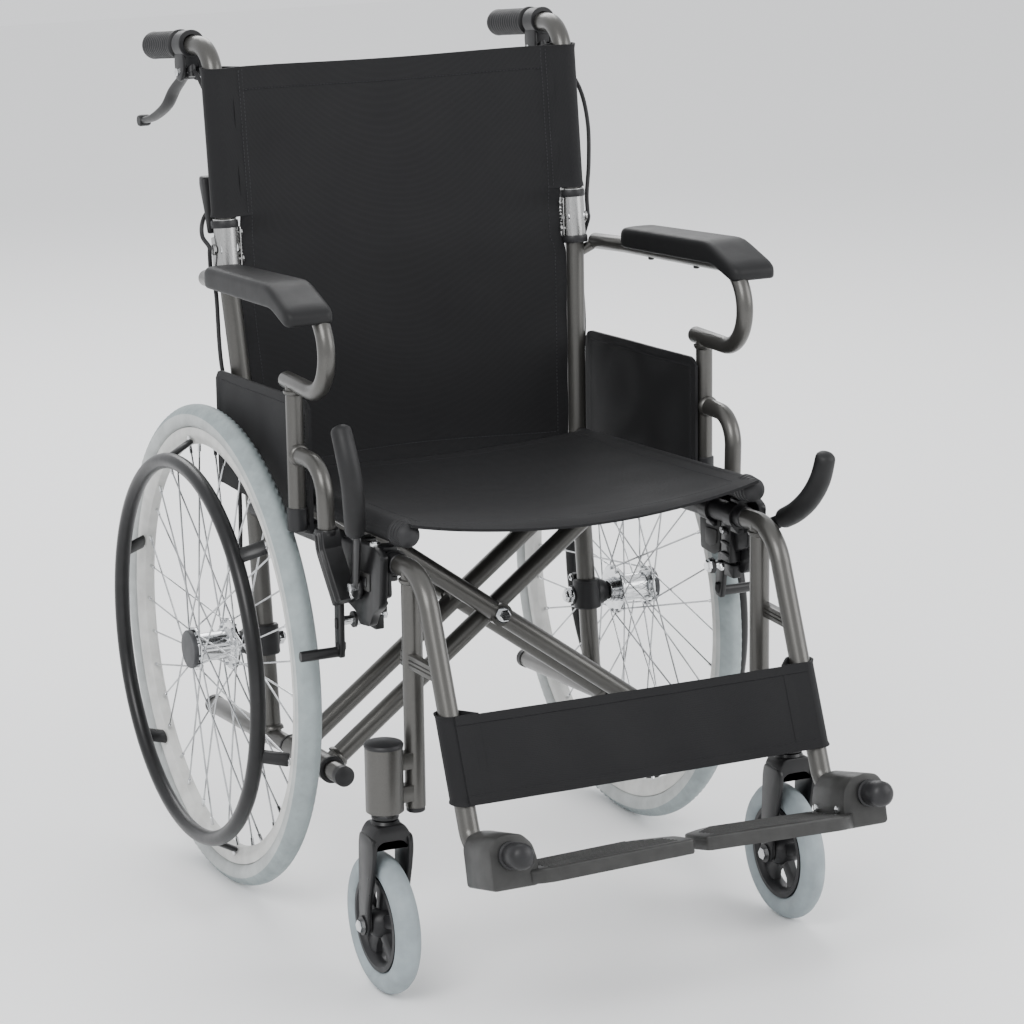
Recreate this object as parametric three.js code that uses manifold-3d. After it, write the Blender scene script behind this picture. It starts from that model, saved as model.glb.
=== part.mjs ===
// Folding manual wheelchair with a cross-brace frame, fold-down backrest and flip-up footplates.
// Millimetres, +Z up, origin on the floor below the middle of the chair, front towards -Y,
// the seated user's left towards +X.
import * as THREE from 'three';
import { mergeVertices } from 'three/addons/utils/BufferGeometryUtils.js';
import Module from 'manifold-3d';

const wasm = await Module();
wasm.setup();

// ---------------------------------------------------------------- driving dimensions
const GAP = 0.3; // clearance between touching pieces
const AXLE_Y = 199; // the rear axle, behind the origin

const TUBE_R = 11; // frame tubes
const TUBE_SIDES = 8;
const FRAME_X = 209; // half spacing of the side frames
const CANE_X = 221; // half spacing of the back canes
const SEAT_X = 207; // half spacing of the seat rails
const RAIL_SLOPE = 0.062; // the rails rise towards the front
const SLOPE_ANGLE = Math.atan(RAIL_SLOPE);
const CANE_LEAN = 0.117; // the rear posts and canes lean back

const WHEEL_R = 280; // rear wheel, outside of the tyre
const WHEEL_X = 262;
const TYRE_R = 15;
const RIM_OUTER = 251;
const RIM_INNER = 234;
const RIM_HALF = 10;
const HUB_IN = 238;
const HUB_OUT = 302;
const HANDRIM_R = 219;
const HANDRIM_TUBE = 9;
const HANDRIM_X = 303;
const SPOKES = 12; // stands for 36 thinner ones
const WHEEL_SEGMENTS = 32;
const AXLE_R = 6;

const CASTER_X = 246; // swivel axis
const CASTER_Y = -432;
const CASTER_R = 78;
const CASTER_TRAIL = 10;
const CASTER_TYRE = 14;
const CASTER_SEGMENTS = 20;

const SEAT_FRONT = -426;
const SEAT_REAR = -28;
const HINGE_Z = 733; // backrest fold-down pin
const POST_TOP = HINGE_Z - 20;
const BACK_TOP = 937;
const BACK_BOTTOM = 505;

const LEG_LEAN = 53 / 128; // the hangers lean forward at the bottom
const FOOT_TILT = THREE.MathUtils.degToRad(14); // toe-up tilt of the footplate axles
const FOOT_CORNER = [-571, 199.6]; // y, z where the hanger bends forward into the axle
const STUB_LENGTH = 130; // from that corner to the front of the end cap
const BLOCK_FRONT = 92; // from that corner to the front of the footplate's block
const FOOT_GAP = 36; // from the middle of the chair to the inner end of a footplate

const topZ = (y) => 463 - RAIL_SLOPE * (y + 405);
const seatZ = (y) => 499 - RAIL_SLOPE * (y + 426);
const bottomZ = (y) => 166 - RAIL_SLOPE * y;
const caneY = (z) => -8 + CANE_LEAN * (z - 280);

// ---------------------------------------------------------------- materials
const paint = { color: 0x55534f, roughness: 0.35, metalness: 0.7 };
const blackPlastic = { color: 0x1b1c1e, roughness: 0.55, metalness: 0 };
const fabric = { color: 0x17181a, roughness: 0.9, metalness: 0 };
const rubber = { color: 0x202124, roughness: 0.75, metalness: 0 };
const chrome = { color: 0xc8cccf, roughness: 0.18, metalness: 1 };
const greyTyre = { color: 0xb4bab9, roughness: 0.8, metalness: 0 };
const greyPlastic = { color: 0xd4d6d2, roughness: 0.5, metalness: 0 };

// ---------------------------------------------------------------- geometry helpers
const vec = (p) => new THREE.Vector3(p[0], p[1], p[2]);

// A curve that is only ever read at its own stations, so a sweep along it puts its sections there.
class StationCurve extends THREE.Curve {
  constructor(points, tangents) {
    super();
    this.points = points;
    this.tangents = tangents;
  }
  index(u) {
    return Math.round(u * (this.points.length - 1));
  }
  getPointAt(u, target = new THREE.Vector3()) {
    return target.copy(this.points[this.index(u)]);
  }
  getTangentAt(u, target = new THREE.Vector3()) {
    return target.copy(this.tangents[this.index(u)]);
  }
}

// Stations along straight legs joined by circular bends of the given radius.
function bentPath(corners, radius, bendStep = 30) {
  const pts = corners.map(vec);
  const points = [pts[0]];
  const tangents = [pts[1].clone().sub(pts[0]).normalize()];
  for (let i = 1; i < pts.length - 1; i += 1) {
    const into = pts[i].clone().sub(pts[i - 1]).normalize();
    const out = pts[i + 1].clone().sub(pts[i]).normalize();
    const turn = into.angleTo(out);
    if (turn < 0.01) continue;
    const axis = into.clone().cross(out).normalize();
    const r = Array.isArray(radius) ? radius[i - 1] : radius;
    const start = pts[i].clone().addScaledVector(into, -r * Math.tan(turn / 2));
    const centre = start.clone().addScaledVector(axis.clone().cross(into), r);
    const steps = Math.max(1, Math.ceil(THREE.MathUtils.radToDeg(turn) / bendStep));
    for (let k = 0; k <= steps; k += 1) {
      const angle = (turn * k) / steps;
      const arm = start.clone().sub(centre).applyAxisAngle(axis, angle);
      points.push(centre.clone().add(arm));
      tangents.push(into.clone().applyAxisAngle(axis, angle));
    }
  }
  points.push(pts[pts.length - 1]);
  tangents.push(pts[pts.length - 1].clone().sub(pts[pts.length - 2]).normalize());
  return new StationCurve(points, tangents);
}

// A closed ring of points as a shape: a round or oval section.
function section(rx, ry = rx, sides = TUBE_SIDES) {
  const ring = [];
  for (let i = 0; i < sides; i += 1) {
    const a = (2 * Math.PI * (i + 0.5)) / sides;
    ring.push(new THREE.Vector2(rx * Math.cos(a), ry * Math.sin(a)));
  }
  return new THREE.Shape(ring);
}

function sweep(curve, shape) {
  return new THREE.ExtrudeGeometry(shape, {
    steps: curve.points.length - 1,
    bevelEnabled: false,
    extrudePath: curve,
  });
}

const tube = (corners, r = TUBE_R, bend = 40, sides = TUBE_SIDES) =>
  sweep(bentPath(corners, bend), section(r, r, sides));

// The radius of a faceted bore that clears a round bar of radius r all round.
const around = (r, sides = TUBE_SIDES) => (r + GAP) / Math.cos(Math.PI / sides);

// A tube along a smooth curve through hand-placed points.
function smoothTube(route, r, sides, steps) {
  const curve = new THREE.CatmullRomCurve3(route.map(vec), false, 'centripetal');
  return new THREE.ExtrudeGeometry(section(r, r, sides), {
    steps,
    bevelEnabled: false,
    extrudePath: curve,
  });
}

// A solid of revolution about the X axis: profile holds [x, radius] pairs.
function turnedX(profile, segments = 24) {
  const ring = profile.map(([x, r]) => new THREE.Vector2(r, x));
  const g = new THREE.LatheGeometry(ring, segments);
  g.rotateZ(-Math.PI / 2);
  return g;
}

// A ring of revolution about the X axis with an oval section.
function ringX(radius, tubeX, tubeR, segments, sides) {
  const profile = [];
  for (let i = 0; i <= sides; i += 1) {
    const a = (2 * Math.PI * i) / sides;
    profile.push([-tubeX * Math.cos(a), radius + tubeR * Math.sin(a)]);
  }
  return turnedX(profile, segments);
}

const rod = (from, to, r, sides = TUBE_SIDES) => sweep(bentPath([from, to], 1), section(r, r, sides));

function box(x0, x1, y0, y1, z0, z1) {
  const g = new THREE.BoxGeometry(x1 - x0, y1 - y0, z1 - z0);
  return g.translate((x0 + x1) / 2, (y0 + y1) / 2, (z0 + z1) / 2);
}

// An outline in the YZ plane, extruded along X.
function plateX(outline, x0, x1) {
  const shape = new THREE.Shape(outline.map(([y, z]) => new THREE.Vector2(y, z)));
  const g = new THREE.ExtrudeGeometry(shape, { depth: x1 - x0, bevelEnabled: false });
  g.rotateY(Math.PI / 2).rotateX(Math.PI / 2);
  return g.translate(x0, 0, 0);
}

// An outline in the XZ plane, extruded along Y from y0 back to y1.
function plateY(outline, y0, y1) {
  const shape = new THREE.Shape(outline.map(([x, z]) => new THREE.Vector2(x, z)));
  const g = new THREE.ExtrudeGeometry(shape, { depth: y1 - y0, bevelEnabled: false });
  g.rotateX(Math.PI / 2);
  return g.translate(0, y1, 0);
}

// Corner points of a rectangle with rounded corners, counter-clockwise.
function roundedOutline(u0, u1, v0, v1, r, steps = 3) {
  const outline = [];
  const centres = [[u1 - r, v1 - r], [u0 + r, v1 - r], [u0 + r, v0 + r], [u1 - r, v0 + r]];
  centres.forEach(([cu, cv], quarter) => {
    for (let k = 0; k <= steps; k += 1) {
      const a = (Math.PI / 2) * (quarter + k / steps);
      outline.push([cu + r * Math.cos(a), cv + r * Math.sin(a)]);
    }
  });
  return outline;
}

function solid(geometry) {
  const g = geometry.clone();
  g.deleteAttribute('normal');
  if (g.getAttribute('uv')) g.deleteAttribute('uv');
  const merged = mergeVertices(g, 1e-3);
  return new wasm.Manifold(new wasm.Mesh({
    numProp: 3,
    vertProperties: new Float32Array(merged.getAttribute('position').array),
    triVerts: new Uint32Array(merged.index.array),
  }));
}

const join = (...pieces) => pieces.slice(1).reduce((a, g) => a.add(solid(g)), solid(pieces[0]));
const cut = (body, ...tools) => tools.reduce((a, g) => a.subtract(solid(g)), body);

function geometryOf(manifold) {
  const mesh = manifold.getMesh();
  const g = new THREE.BufferGeometry();
  g.setAttribute('position', new THREE.BufferAttribute(new Float32Array(mesh.vertProperties), 3));
  g.setIndex(new THREE.BufferAttribute(new Uint32Array(mesh.triVerts), 1));
  return g;
}

// The same piece on the other side of the chair.
function mirrored(geometry) {
  const g = geometry.clone();
  g.scale(-1, 1, 1);
  const index = g.index ? g.index.array : [...Array(g.getAttribute('position').count).keys()];
  const flipped = new Uint32Array(index.length);
  for (let i = 0; i < index.length; i += 3) {
    flipped[i] = index[i];
    flipped[i + 1] = index[i + 2];
    flipped[i + 2] = index[i + 1];
  }
  g.setIndex(new THREE.BufferAttribute(flipped, 1));
  return g;
}

const asGeometry = (g) => (g.isBufferGeometry ? g : geometryOf(g));

// ---------------------------------------------------------------- welded side frame
function sideFrame() {
  const x = FRAME_X;
  const cornerY = -460.4;
  const capR = 12.5;
  const [footY, footZ] = FOOT_CORNER;
  const alongStub = (d) => [x, footY - d * Math.cos(FOOT_TILT), footZ + d * Math.sin(FOOT_TILT)];
  const stubEnd = alongStub(STUB_LENGTH);
  const mainTube = tube(
    [[x, 10, topZ(10)], [x, cornerY, topZ(cornerY)], [x, footY, footZ], stubEnd],
    TUBE_R, [55, 25],
  );
  const cap = rod(alongStub(BLOCK_FRONT + 1), stubEnd, capR);
  const rearPost = tube(
    [[x, caneY(168), 168], [x, caneY(480), 480], [CANE_X, caneY(HINGE_Z - 34), HINGE_Z - 34],
      [CANE_X, caneY(POST_TOP), POST_TOP]],
    TUBE_R, [150, 60],
  );
  const bottomRail = tube([[x, 170, bottomZ(170)], [x, -238, bottomZ(-238)]]);
  const frontPost = tube([[x, -429, topZ(-429)], [x, -429, 203]]);
  const crossbar = rod([x, -429, 367], [x, -500, 367], 9);
  const housing = new THREE.CylinderGeometry(20.5, 20.5, 78, 20).rotateX(Math.PI / 2)
    .translate(CASTER_X, CASTER_Y, 243);
  const web = box(x + 6, CASTER_X - 16, CASTER_Y - 7, CASTER_Y + 7, 212, 274);
  const stemBore = new THREE.CylinderGeometry(8.6, 8.6, 70, 16).rotateX(Math.PI / 2)
    .translate(CASTER_X, CASTER_Y, 203 + 34);
  const axleBore = rod([x - 20, 0, WHEEL_R], [x + 20, 0, WHEEL_R], around(AXLE_R));
  const welded = join(mainTube, cap, rearPost, bottomRail, frontPost, crossbar, housing, web);
  return cut(welded, stemBore, axleBore);
}

// ---------------------------------------------------------------- armrest and side panel
const ARM_X = 252;
const ARM_R = 9.5;
const ARM_FRONT = [-318, 726]; // y, z where the armrest's top tube turns down
const ARM_REAR = [-30, 708];
const ARM_LOW = 630; // height of the tube's lower leg
const POST_Y = -224;
const PAD_WIDTH = [240, 290];

// From the cane, forward under the pad, round the front and back to the post.
function armTop(r) {
  const [frontY, frontZ] = ARM_FRONT;
  return tube(
    [[CANE_X + 27, 46, 702], [ARM_X, ...ARM_REAR], [ARM_X, frontY, frontZ],
      [ARM_X, frontY, ARM_LOW], [ARM_X, POST_Y + 26, ARM_LOW]],
    r, [60, 46, 46],
  );
}

function armrestTube() {
  const bossZ = POST_TOP - 21;
  const boss = rod([CANE_X + TUBE_R + 0.6, caneY(bossZ), bossZ], [CANE_X + 30, caneY(bossZ), bossZ + 3], 6);
  const post = rod([ARM_X, POST_Y, ARM_LOW], [ARM_X, POST_Y, 472], ARM_R);
  const loop = tube([[ARM_X, POST_Y, 552], [ARM_X - 2, -297, 552], [ARM_X - 4, -297, 470]], ARM_R, 34);
  return join(armTop(ARM_R), boss, post, loop);
}

// The pad rises towards the front with its tube, and its nose turns down.
function armrestPad() {
  const profile = [[-39, 708], [-36, 718], [-41, 729], [-238, 743], [-252, 741], [-298, 728], [-306, 718],
    [-303, 707], [-252, 721]];
  const bevel = 5;
  const [inner, outer] = PAD_WIDTH;
  const shape = new THREE.Shape(profile.map(([y, z]) => new THREE.Vector2(y, z)));
  const pad = new THREE.ExtrudeGeometry(shape, {
    depth: outer - inner - 2 * bevel,
    bevelEnabled: true,
    bevelThickness: bevel,
    bevelSize: bevel,
    bevelOffset: -bevel,
    bevelSegments: 2,
  });
  pad.rotateY(Math.PI / 2).rotateX(Math.PI / 2).translate(inner + bevel, 0, 0);
  return cut(join(pad), armTop(around(ARM_R) + 1));
}

function skirtPanel() {
  const outline = [[-232, 463], [46, 463], [46, 585], [36, 595], [-218, 609], [-232, 600]];
  return plateX(outline, 236.2, 239.2);
}

// ---------------------------------------------------------------- parking brake
const BRAKE_PIVOT = [-350, 430];
const SHOE_PIVOT = [-312, 418];
const LEVER_BACK = -45; // the right lever stands right back, the left one half way
const SHOE_HALF = 9.45; // the left shoe is half way in with it

function brakeBracket() {
  const z = topZ(-350);
  const body = box(FRAME_X + 14, FRAME_X + 24, -392, -296, 404, z + 22);
  const clamp = box(FRAME_X - 15, FRAME_X + 24, -385, -330, z - 15, z + 15);
  const socket = rod([ARM_X - 4, -297, 469.5], [ARM_X - 4, -297, 442], 12);
  const arm = box(FRAME_X + 20, ARM_X - 4, -306, -288, 444, 462);
  const rail = rod([FRAME_X, -420, topZ(-420)], [FRAME_X, -250, topZ(-250)], around(TUBE_R));
  return cut(join(body, clamp, socket, arm), rail);
}

function brakeLever() {
  const [py, pz] = BRAKE_PIVOT;
  const x = FRAME_X + 30;
  const hubDisc = rod([FRAME_X + 24 + GAP, py, pz], [x + 4, py, pz], 13);
  const bar = tube([[x, py, pz], [x + 6, -418, 464], [x + 12, -440, 482]], 5, 20, 8);
  const grip = tube(
    [[x + 10, -412, 460], [x + 14, -462, 492], [x + 18, -490, 550]], 11, 50, 12,
  );
  return join(hubDisc, bar, grip);
}

// A part of the parking brake turned about its own pivot.
function turnedAbout([py, pz], degrees, body) {
  const g = asGeometry(body).translate(0, -py, -pz);
  return g.rotateX(THREE.MathUtils.degToRad(degrees)).translate(0, py, pz);
}

function brakeShoe() {
  const [py, pz] = SHOE_PIVOT;
  const x = FRAME_X + 24 + GAP;
  const eye = rod([x, py, pz], [x + 9, py, pz], 11);
  const leg = box(x, x + 8, -308, -292, 340, pz);
  const bar = rod([x + 2, -300, 346], [284, -300, 346], 6);
  return join(eye, leg, bar);
}

// ---------------------------------------------------------------- backrest canes and handles
function backCane() {
  const x = CANE_X;
  const cane = tube(
    [[x, caneY(HINGE_Z), HINGE_Z], [x, caneY(961), 961], [x + 3, 165, 954], [x + 3, 243, 945.1]],
    TUBE_R, [38, 60],
  );
  const knuckle = rod([x - 10.5, caneY(HINGE_Z), HINGE_Z], [x + 10.5, caneY(HINGE_Z), HINGE_Z], 10.9);
  const y = caneY(HINGE_Z);
  const pin = rod([x - 20, y, HINGE_Z], [x + 20, y, HINGE_Z], around(4));
  return cut(join(cane, knuckle), pin);
}

function foldBracket() {
  const x = CANE_X;
  const y0 = caneY(HINGE_Z);
  const wall = 13.6;
  const foot = POST_TOP - 1;
  const front = box(x - wall, x + wall, y0 - 15, y0 - 12.6, foot, HINGE_Z + 35);
  const inside = box(x - wall, x - 11.4, y0 - 15, y0 + 12, foot, HINGE_Z + 16);
  const outside = box(x + 11.4, x + wall, y0 - 15, y0 + 12, foot, HINGE_Z + 16);
  const collar = rod([x, caneY(foot - 12), foot - 12], [x, caneY(foot + 1), foot + 1], 15);
  const pin = rod([x - 17, y0, HINGE_Z], [x + 17, y0, HINGE_Z], 4);
  const post = rod([x, caneY(foot - 40), foot - 40], [x, caneY(foot + 4), foot + 4], around(TUBE_R));
  const cane = rod([x, y0, HINGE_Z], [x, caneY(960), 960], around(TUBE_R));
  const knuckle = rod([x - 11.3, y0, HINGE_Z], [x + 11.3, y0, HINGE_Z], 12, 16);
  return cut(join(front, inside, outside, collar), post, cane, knuckle).add(solid(pin));
}

function releaseLever() {
  const x = CANE_X;
  const at = (z, off) => [caneY(z) + off, z];
  const outline = [at(752, 12.5), at(752, 18), at(806, 26), at(810, 21), at(770, 13)];
  return plateX(outline, x + 4, x + 14);
}

function pushGrip() {
  const from = [CANE_X + 3, 158, 954.8];
  const to = [CANE_X + 3, 256, 943.7];
  const bore = rod([CANE_X + 3, 150, 955.7], [CANE_X + 3, 244.5, 944.9], around(TUBE_R));
  return cut(join(rod(from, to, 16.5, 16)), bore);
}

const HAND_PIVOT = [142, 925];

function attendantLever() {
  const [py, pz] = HAND_PIVOT;
  const x = CANE_X + 3;
  const lever = tube([[x, py, pz], [x, 180, 902], [x, 205, 878], [x, 300, 850]], 5, [20, 20], 8);
  const eye = rod([x - 7, py, pz], [x + 7, py, pz], 9);
  return join(lever, eye);
}

function leverClamp() {
  const [py, pz] = HAND_PIVOT;
  const x = CANE_X + 3;
  const ring = rod([x - 0.2, 124, 959], [x, 150, 955.7], 15);
  const drop = box(x - 12, x + 12, 130, 150, pz - 8, 948);
  const slot = box(x - 7.5, x + 7.5, 120, 160, pz - 20, pz + 10.5);
  const tubeHole = rod([x, 110, 960.7], [x, 165, 953.9], TUBE_R - 1);
  return cut(join(ring, drop), tubeHole, slot);
}

// ---------------------------------------------------------------- brake cables
const CABLE_R = 2.5;

const cable = (route) => smoothTube(route, CABLE_R, 8, 14);

// The left cable bows out beside the cane, and the right one runs close behind it.
function cableUpperLeft() {
  const x = CANE_X;
  return cable([
    [x + 3, 128, 930], [x + 16, 104, 912], [x + 31, 86, 880], [x + 36, 75, 840],
    [x + 31, 63, 795], [x + 22, 51, 758], [x + 20.5, caneY(HINGE_Z) + 1, HINGE_Z + 4],
  ]);
}

function cableUpperRight() {
  const x = CANE_X;
  const behind = 19;
  return cable([
    [x + 3, 128, 930], [x, 112, 918], [x - 4, caneY(880) + behind, 880], [x - 5, caneY(830) + behind, 830],
    [x - 3, caneY(790) + 24, 790], [x + 12, caneY(764) + 34, 764], [x + 23, caneY(748) + 14, 748],
    [x + 20.5, caneY(HINGE_Z) + 1, HINGE_Z + 4],
  ]);
}

function cableLower() {
  const x = CANE_X;
  return cable([
    [x + 20.5, caneY(HINGE_Z), HINGE_Z - 4], [x + 17, caneY(706) + 10, 706], [x + 12, caneY(680) + 12, 680],
    [FRAME_X + 24, caneY(600) + 12, 600], [FRAME_X + 12, 33, 520], [FRAME_X + 10, 33, 440],
    [FRAME_X + 12, 32, 370], [FRAME_X + 16, 24, 325],
  ]);
}

// ---------------------------------------------------------------- rear wheels
function axleClamp() {
  const x = FRAME_X;
  const sleeve = rod([x, caneY(262), 262], [x, caneY(306), 306], 16.5);
  const boss = rod([x, 0, WHEEL_R], [HUB_IN - 1.5, 0, WHEEL_R], 15, 16);
  const inner = rod([x - 17, 0, WHEEL_R], [x, 0, WHEEL_R], 11);
  const post = rod([x, caneY(240), 240], [x, caneY(330), 330], around(TUBE_R));
  const bore = rod([x - 30, 0, WHEEL_R], [x + 60, 0, WHEEL_R], around(AXLE_R));
  return cut(join(sleeve, boss, inner), post, bore);
}

function rearAxle() {
  const seat = FRAME_X - 17.5;
  const axle = turnedX([[seat - 7, 0], [seat - 7, 8.5], [seat, 8.5], [seat, AXLE_R],
    [HUB_OUT - 8, AXLE_R], [HUB_OUT - 8, 0]], TUBE_SIDES);
  return axle.translate(0, 0, WHEEL_R);
}

const aboutAxle = (g) => g.translate(0, 0, WHEEL_R);

function rearTyre() {
  const tyre = solid(ringX(WHEEL_R - TYRE_R, TYRE_R, TYRE_R, WHEEL_SEGMENTS, 8));
  const seat = turnedX([[-RIM_HALF - GAP, 0], [-RIM_HALF - GAP, RIM_OUTER + GAP],
    [RIM_HALF + GAP, RIM_OUTER + GAP], [RIM_HALF + GAP, 0]], WHEEL_SEGMENTS);
  return aboutAxle(asGeometry(tyre.subtract(solid(seat))).translate(WHEEL_X, 0, 0));
}

function rearRim() {
  const h = RIM_HALF;
  const rim = turnedX([[-h, RIM_OUTER], [h, RIM_OUTER], [h, RIM_OUTER - 9], [5, RIM_INNER],
    [-5, RIM_INNER], [-h, RIM_OUTER - 9], [-h, RIM_OUTER]], WHEEL_SEGMENTS);
  return aboutAxle(rim.translate(WHEEL_X, 0, 0));
}

function rearHub() {
  const flange = 30;
  const barrel = 17;
  const hub = turnedX([[HUB_IN, 0], [HUB_IN, 14], [248, 14], [248, flange], [252, flange], [252, barrel],
    [284, barrel], [284, flange], [288, flange], [288, 21], [HUB_OUT, 21], [HUB_OUT, 0]], 16);
  const boreR = around(AXLE_R);
  const bore = turnedX([[HUB_IN - 4, 0], [HUB_IN - 4, boreR], [HUB_OUT - 7.5, boreR],
    [HUB_OUT - 7.5, 0]], TUBE_SIDES);
  let wheel = solid(hub).subtract(solid(bore));
  for (let i = 0; i < SPOKES; i += 1) {
    const outer = i % 2 === 0;
    const rimAngle = (2 * Math.PI * i) / SPOKES;
    const lead = (i % 4 < 2 ? 1 : -1) * THREE.MathUtils.degToRad(62);
    const hubAngle = rimAngle + lead;
    const x0 = outer ? 286 : 250;
    const start = [x0, (flange - 3) * Math.cos(hubAngle), (flange - 3) * Math.sin(hubAngle)];
    const reach = RIM_INNER - 3;
    const end = [WHEEL_X + (outer ? 2 : -2), reach * Math.cos(rimAngle), reach * Math.sin(rimAngle)];
    wheel = wheel.add(solid(rod(start, end, 1.4, 3)));
  }
  return aboutAxle(asGeometry(wheel));
}

function handrim() {
  const ring = ringX(HANDRIM_R, HANDRIM_TUBE, HANDRIM_TUBE, WHEEL_SEGMENTS, 6).translate(HANDRIM_X, 0, 0);
  let rim = solid(ring);
  const tabs = 6;
  for (let i = 0; i < tabs; i += 1) {
    const a = (2 * Math.PI * (i + 0.3)) / tabs;
    const at = (x, r) => [x, r * Math.cos(a), r * Math.sin(a)];
    const r0 = RIM_INNER + 3;
    const x0 = WHEEL_X + 8.4;
    rim = rim.add(solid(rod(at(x0, r0), at(HANDRIM_X - 4, HANDRIM_R + 3), 4.5, 6)));
  }
  return aboutAxle(asGeometry(rim));
}

// ---------------------------------------------------------------- casters
const CASTER_AXLE = CASTER_Y + CASTER_TRAIL;

function casterFork() {
  const x = CASTER_X;
  const inner = CASTER_TYRE + 4;
  const crown = box(x - inner - 7, x + inner + 7, CASTER_Y - 13, CASTER_Y + 15, 166, 180);
  const leg = (x0, x1) => plateX([
    [CASTER_Y - 13, 178], [CASTER_Y - 13, 150], [CASTER_AXLE - 11, 78], [CASTER_AXLE - 7, 68],
    [CASTER_AXLE + 7, 68], [CASTER_AXLE + 11, 78], [CASTER_Y + 15, 150], [CASTER_Y + 15, 178],
  ], x0, x1);
  const stem = rod([x, CASTER_Y, 176], [x, CASTER_Y, 262], 8.2);
  const washer = rod([x, CASTER_Y, 179], [x, CASTER_Y, 203.5], 13);
  const axle = rod([x - inner - 11, CASTER_AXLE, CASTER_R], [x + inner + 11, CASTER_AXLE, CASTER_R], 4);
  return join(crown, leg(x - inner - 7, x - inner), leg(x + inner, x + inner + 7), stem, washer, axle);
}

const atCaster = (g) => g.translate(CASTER_X, CASTER_AXLE, CASTER_R);

function casterWheel() {
  const r = CASTER_R - 2 * CASTER_TYRE + 2;
  const body = turnedX([[-16, 0], [-16, 14], [-6, 16], [-6, r - 10], [-11, r - 4], [-11, r], [11, r],
    [11, r - 4], [6, r - 10], [6, 16], [16, 14], [16, 0]], CASTER_SEGMENTS);
  const holes = [];
  const openings = 5;
  for (let i = 0; i < openings; i += 1) {
    const a = (2 * Math.PI * i) / openings;
    const at = (x) => [x, 28 * Math.cos(a), 28 * Math.sin(a)];
    holes.push(rod(at(-20), at(20), 7.5, 8));
  }
  holes.push(rod([-30, 0, 0], [30, 0, 0], around(4)));
  return atCaster(asGeometry(cut(join(body), ...holes)));
}

function casterTyre() {
  const tyre = solid(ringX(CASTER_R - CASTER_TYRE, CASTER_TYRE, CASTER_TYRE, CASTER_SEGMENTS, 8));
  const inner = CASTER_R - 2 * CASTER_TYRE + 2 + GAP;
  const seat = turnedX([[-20, 0], [-20, inner], [20, inner], [20, 0]], CASTER_SEGMENTS);
  return atCaster(asGeometry(tyre.subtract(solid(seat))));
}

// ---------------------------------------------------------------- footplates
// Built flat: X across, -Y along the axle towards the toes, Z square to both, axle at the origin.
function footplate() {
  const x = FRAME_X;
  const top = -18.5;
  const under = -23;
  const lip = -34;
  const outer = 186;
  const front = -108;
  const rear = -22;
  const round = 20;
  const rise = THREE.MathUtils.degToRad(1.4);
  const blockOutline = [
    [-30, lip], [22, lip], [22, 8], [16, 17], [6, 20.5], [-12, 20.5], [-22, 15], [-28, 6], [-30, -4],
  ];
  const block = plateY(blockOutline, -BLOCK_FRONT, -24).translate(x, 0, 0);
  const inner = [];
  for (let k = 0; k <= 4; k += 1) {
    const a = (Math.PI / 2) * (k / 4);
    inner.push([FOOT_GAP + round - round * Math.sin(a), front + round - round * Math.cos(a)]);
  }
  const back = [];
  for (let k = 0; k <= 4; k += 1) {
    const a = (Math.PI / 2) * (k / 4);
    back.push([FOOT_GAP + 34 - 34 * Math.cos(a), rear - 30 + 30 * Math.sin(a)]);
  }
  const outline = [[outer + 6, front + 12], [outer - 8, front], ...inner, ...back, [outer + 6, rear]];
  const deck = (points, z0, z1) => {
    const shape = new THREE.Shape(points.map(([u, v]) => new THREE.Vector2(u, v)));
    return new THREE.ExtrudeGeometry(shape, { depth: z1 - z0, bevelEnabled: false }).translate(0, 0, z0);
  };
  const slab = deck(outline, lip + 1, top);
  const inset = 5;
  const cx = (FOOT_GAP + outer) / 2;
  const cy = (front + rear) / 2;
  const sx = 1 - (2 * inset) / (outer - FOOT_GAP);
  const sy = 1 - (2 * inset) / (rear - front);
  const hollow = deck(outline.map(([u, v]) => [cx + (u - cx) * sx, cy + (v - cy) * sy]), lip - 5, under);
  const plate = asGeometry(cut(join(slab), hollow));
  plate.translate(-outer, 0, -top).rotateY(rise).translate(outer, 0, top);
  const bore = rod([x, -200, 0], [x, 20, 0], around(TUBE_R));
  return asGeometry(cut(join(block, plate), bore))
    .rotateX(-FOOT_TILT)
    .translate(0, FOOT_CORNER[0], FOOT_CORNER[1]);
}

// ---------------------------------------------------------------- upholstery halves
function seatHalf() {
  const inner = 36;
  const outer = SEAT_X - 27;
  const slab = box(inner, outer, SEAT_FRONT, SEAT_REAR, -3, 3);
  const lift = seatZ(0);
  return slab.rotateX(-SLOPE_ANGLE).translate(0, 0, lift - 2);
}

// Leans an upright slab back by a slope, so that it crosses z = 0 at y = foot.
const leant = (slab, slope, foot) =>
  slab.applyMatrix4(new THREE.Matrix4().makeShear(0, 0, 0, 0, 0, slope)).translate(0, foot, 0);

function backHalf(outer, z0, z1) {
  return leant(box(38, outer, -2.5, 2.5, z0, z1), CANE_LEAN, caneY(0));
}

function calfHalf() {
  const slab = box(38, FRAME_X - TUBE_R - 2, -5, 5, 245, 331);
  return leant(slab, LEG_LEAN, -515 - LEG_LEAN * 334);
}

// ---------------------------------------------------------------- cross brace
// Built square to the rails: the lower pivot at (-FRAME_X, z = 0) and the seat rail at (SEAT_X, HEIGHT).
const BRACE_HEIGHT = (seatZ(0) - bottomZ(0)) * Math.cos(SLOPE_ANGLE);
const BRACE_MID = (BRACE_HEIGHT * FRAME_X) / (FRAME_X + SEAT_X);
const PIVOT_BOLT_R = 4;
const ARM_A = [-185, -97]; // where each arm's two tubes stand along the rails
const ARM_B = [-210, -72];

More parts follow.
